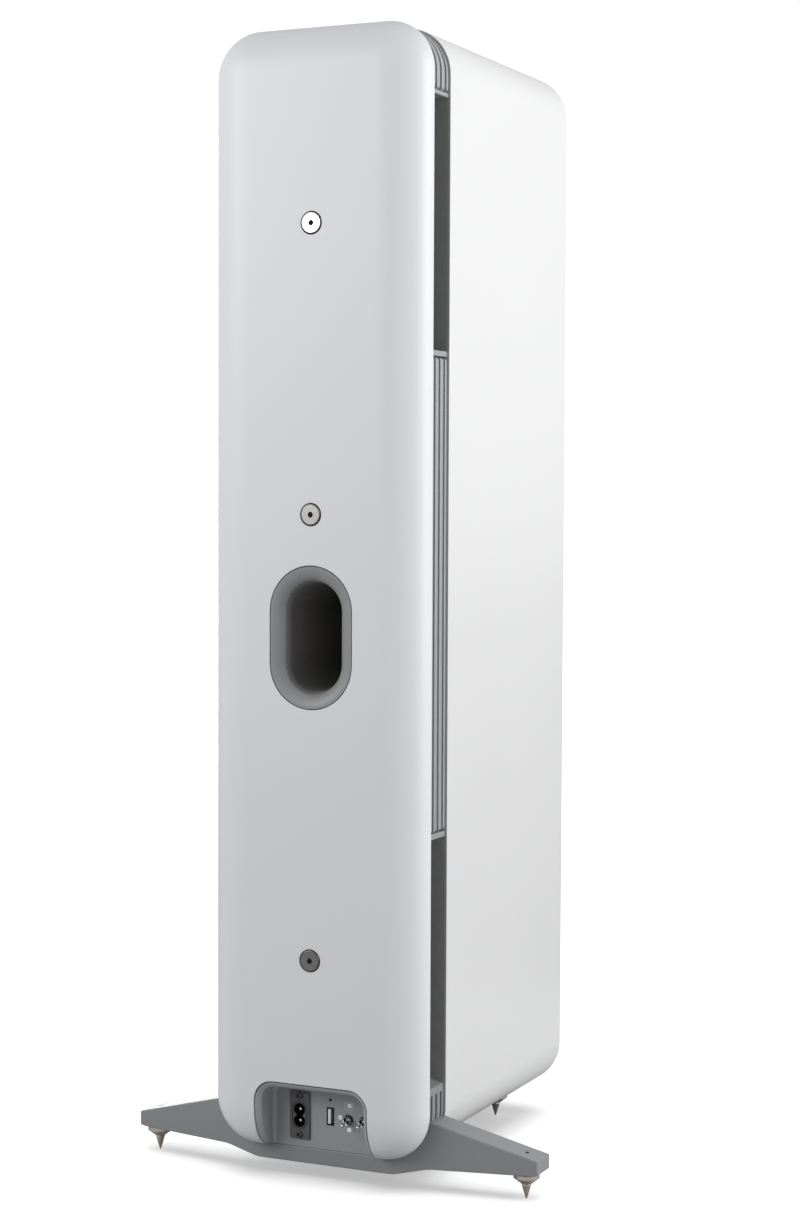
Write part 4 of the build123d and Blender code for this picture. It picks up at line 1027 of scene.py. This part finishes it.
def wadding():
    """Two loose fibre pads on the cabinet's side walls."""
    thick, deep, tall = 6.6, 77.0, 122.0
    for name, side in (("left", 1), ("right", -1)):
        centre = Vector((side * (HALF - WALL - 9), -20.0, 435.0))
        rings = []
        for w in [sin(radians(a)) for a in steps(-90, 90, 36)]:
            shrink = (1 - abs(w) ** 6) ** (1 / 4)
            ring = []
            for turn in steps(0, 2 * pi, 56)[:-1]:
                c, s = cos(turn), sin(turn)
                u = abs(c) ** 0.45 * (1 if c > 0 else -1) * shrink
                v = abs(s) ** 0.28 * (1 if s > 0 else -1) * shrink ** 0.3
                spot = Vector((u * thick, v * deep, w * tall))
                lump = noise.noise(spot * 0.05 + Vector((side, 2, 3))) + 0.5 * noise.noise(spot * 0.16)
                spot.x += (1.0 if u > 0 else -1.0) * 0.8 * lump * shrink
                spot.y += 1.6 * noise.noise(spot * 0.04)
                ring.append(centre + spot)
            rings.append(ring)
        shape = Shape()
        shape.skin(rings)
        pad = make(f"wadding_{name}", shape, FIBRE, "wadding", angle=80)


def surround(driver, z, inner, outer, sheet, level, towards):
    """Half-round rubber ring in sectors. Each sector is a fixed arch from the frame to the moving cone."""
    sectors = 8
    spread = pi / sectors
    middle, rise = (inner + outer) / 2, (outer - inner) / 2
    section = arc(middle, level, rise, 180, 180 - 180 * towards, 20)
    section += arc(middle, level, rise - sheet, 0, 180 * towards, 20)
    for k in range(sectors):
        aim = 2 * spread * k + spread
        shape = Shape()
        shape.solid([[(r * cos(a), y, z + r * sin(a)) for r, y in section]
                     for a in steps(aim - spread, aim + spread, 8)])
        piece = make(f"{driver}_roll_{k + 1}", shape, RUBBER, f"{driver}_surround", None,
                     angle=50)
        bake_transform(piece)


grille_cloth()
wadding()
for name, bmr_z, woofer_z in (("upper", 776.0, 703.0), ("lower", 680.0, 168.3)):
    surround(f"{name}_bmr", bmr_z, inner=27.55, outer=32.95, sheet=0.6, level=-135.4, towards=-1)
    surround(f"{name}_woofer", woofer_z, inner=42.05, outer=50.45, sheet=1.0, level=98.4, towards=1)

# CAD nodes that stay

KEPT = {
    "front_baffle": BAFFLE, "rear_baffle": DARK_BOARD, "cabinet_braces": BOARD,
    "cover_standoffs": BLACK_STEEL, "cover_brackets": BLACK_STEEL, "setup_button": BLACK,
    "setup_switch": BLACK, "base_bolts": BLACK_STEEL, "upper_bmr_frame": BLACK, "lower_bmr_frame": BLACK,
    "upper_bmr_diaphragm": DIAPHRAGM, "lower_bmr_diaphragm": DIAPHRAGM, "bmr_magnets": MAGNET,
    "upper_woofer_basket": BLACK_STEEL, "lower_woofer_basket": BLACK_STEEL, "upper_woofer_cone": PAPER,
    "lower_woofer_cone": PAPER, "woofer_magnets": MAGNET, "driver_screws": BLACK_STEEL,
    "grille_frame": BLACK, "grille_magnets": MAGNET, "baffle_magnets": MAGNET, "amplifier_board": CIRCUIT,
    "power_supply_board": CIRCUIT,
}
for name, look in KEPT.items():
    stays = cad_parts[name].data.materials
    stays.clear()
    stays.append(look)


# Floor and light


def by_ray(tree, seen, mirrored, thrown, out):
    """One shader for camera rays, one for glossy rays and one for all others."""
    path = node(tree, "LightPath")
    gloss, mix = node(tree, "MixShader"), node(tree, "MixShader")
    join(tree, path, "Is Glossy Ray", gloss, "Fac")
    join(tree, thrown, 0, gloss, 1)
    join(tree, mirrored, 0, gloss, 2)
    join(tree, path, "Is Camera Ray", mix, "Fac")
    join(tree, gloss, 0, mix, 1)
    join(tree, seen, 0, mix, 2)
    join(tree, mix, 0, out, "Surface")


def floor():
    """White sweep, 28 metres across. It throws back less light than it shows, as a lit sweep round a
    product does, and polished metal sees it fade with distance."""
    mesh = bpy.data.meshes.new("floor")
    reach = 14.0
    corners = ((-reach, -reach, 0), (reach, -reach, 0), (reach, reach, 0), (-reach, reach, 0))
    mesh.from_pydata(corners, [], [(0, 1, 2, 3)])
    piece = placed("floor", mesh)
    look = material("floor", (0.97, 0.97, 0.97), 0.5, mottle=(0.0, 3), specular=0.0)
    tree = look.node_tree
    out, shown = tree.nodes["Material Output"], tree.nodes["Principled BSDF"]
    shown.inputs["Emission Color"].default_value = (1, 1, 1, 1)
    shown.inputs["Emission Strength"].default_value = 0.42
    thrown = node(tree, "BsdfDiffuse", Color=(0.5, 0.5, 0.5, 1))
    mirrored = node(tree, "BsdfDiffuse")
    near = node(tree, "TexGradient")
    near.gradient_type = "SPHERICAL"
    fade = node(tree, "MapRange", From_Min=0.2, From_Max=0.45, To_Min=0.2, To_Max=0.55)
    join(tree, node(tree, "TexCoord"), "Object", near, "Vector")
    join(tree, near, "Fac", fade, "Value")
    join(tree, fade, "Result", mirrored, "Color")
    by_ray(tree, shown, mirrored, thrown, out)
    mesh.materials.append(look)
    return piece


def receivers(name, piece):
    group = bpy.data.collections.new(name)
    group.objects.link(piece)
    return group


def area(name, place, target, size, power):
    """A rectangular lamp aimed at a target. Places here are metres."""
    data = bpy.data.lights.new(name, "AREA")
    data.shape = "RECTANGLE"
    data.size, data.size_y = size
    data.energy = power
    lamp = placed(name, data)
    lamp.location = place
    lamp.rotation_mode = "QUATERNION"
    lamp.visible_camera = False
    lamp.rotation_quaternion = (Vector(target) - Vector(place)).to_track_quat("-Z", "Y")
    return lamp


def light(ground):
    """A bright background, a soft sun for the floor alone, and lamps for everything but the floor."""
    world = bpy.data.worlds.new("world")
    bpy.context.scene.world = world
    world.use_nodes = True
    tree = world.node_tree
    tree.nodes.clear()
    seen = node(tree, "Background", Color=(1, 1, 1, 1), Strength=1.05)
    mirrored = node(tree, "Background", Color=(1, 1, 1, 1), Strength=0.8)
    thrown = node(tree, "Background", Color=(0.97, 0.985, 1, 1), Strength=0.27)
    by_ray(tree, seen, mirrored, thrown, node(tree, "OutputWorld"))
    data = bpy.data.lights.new("overhead", "SUN")
    data.energy = 2.0
    data.angle = radians(60)
    sun = placed("overhead", data)
    sun.rotation_euler = (radians(-3), radians(-4), 0)
    sun.light_linking.receiver_collection = receivers("lit_by_overhead", ground)
    off_floor = receivers("not_lit_by_lamps", ground)
    off_floor.collection_objects[0].light_linking.link_state = "EXCLUDE"
    for lamp in (area("side_key", (-1.5, 0.0, 0.88), (0, 0, 0.62), (1.0, 1.3), 20.5),
                 area("rear_fill", (1.2, 1.5, 1.15), (0, 0.15, 0.75), (1.2, 1.0), 20),
                 area("front_fill", (1.1, -1.7, 0.6), (0.02, -0.14, 0.45), (1.2, 1.3), 26)):
        lamp.light_linking.receiver_collection = off_floor


light(floor())
bpy.context.scene.view_settings.view_transform = "Standard"
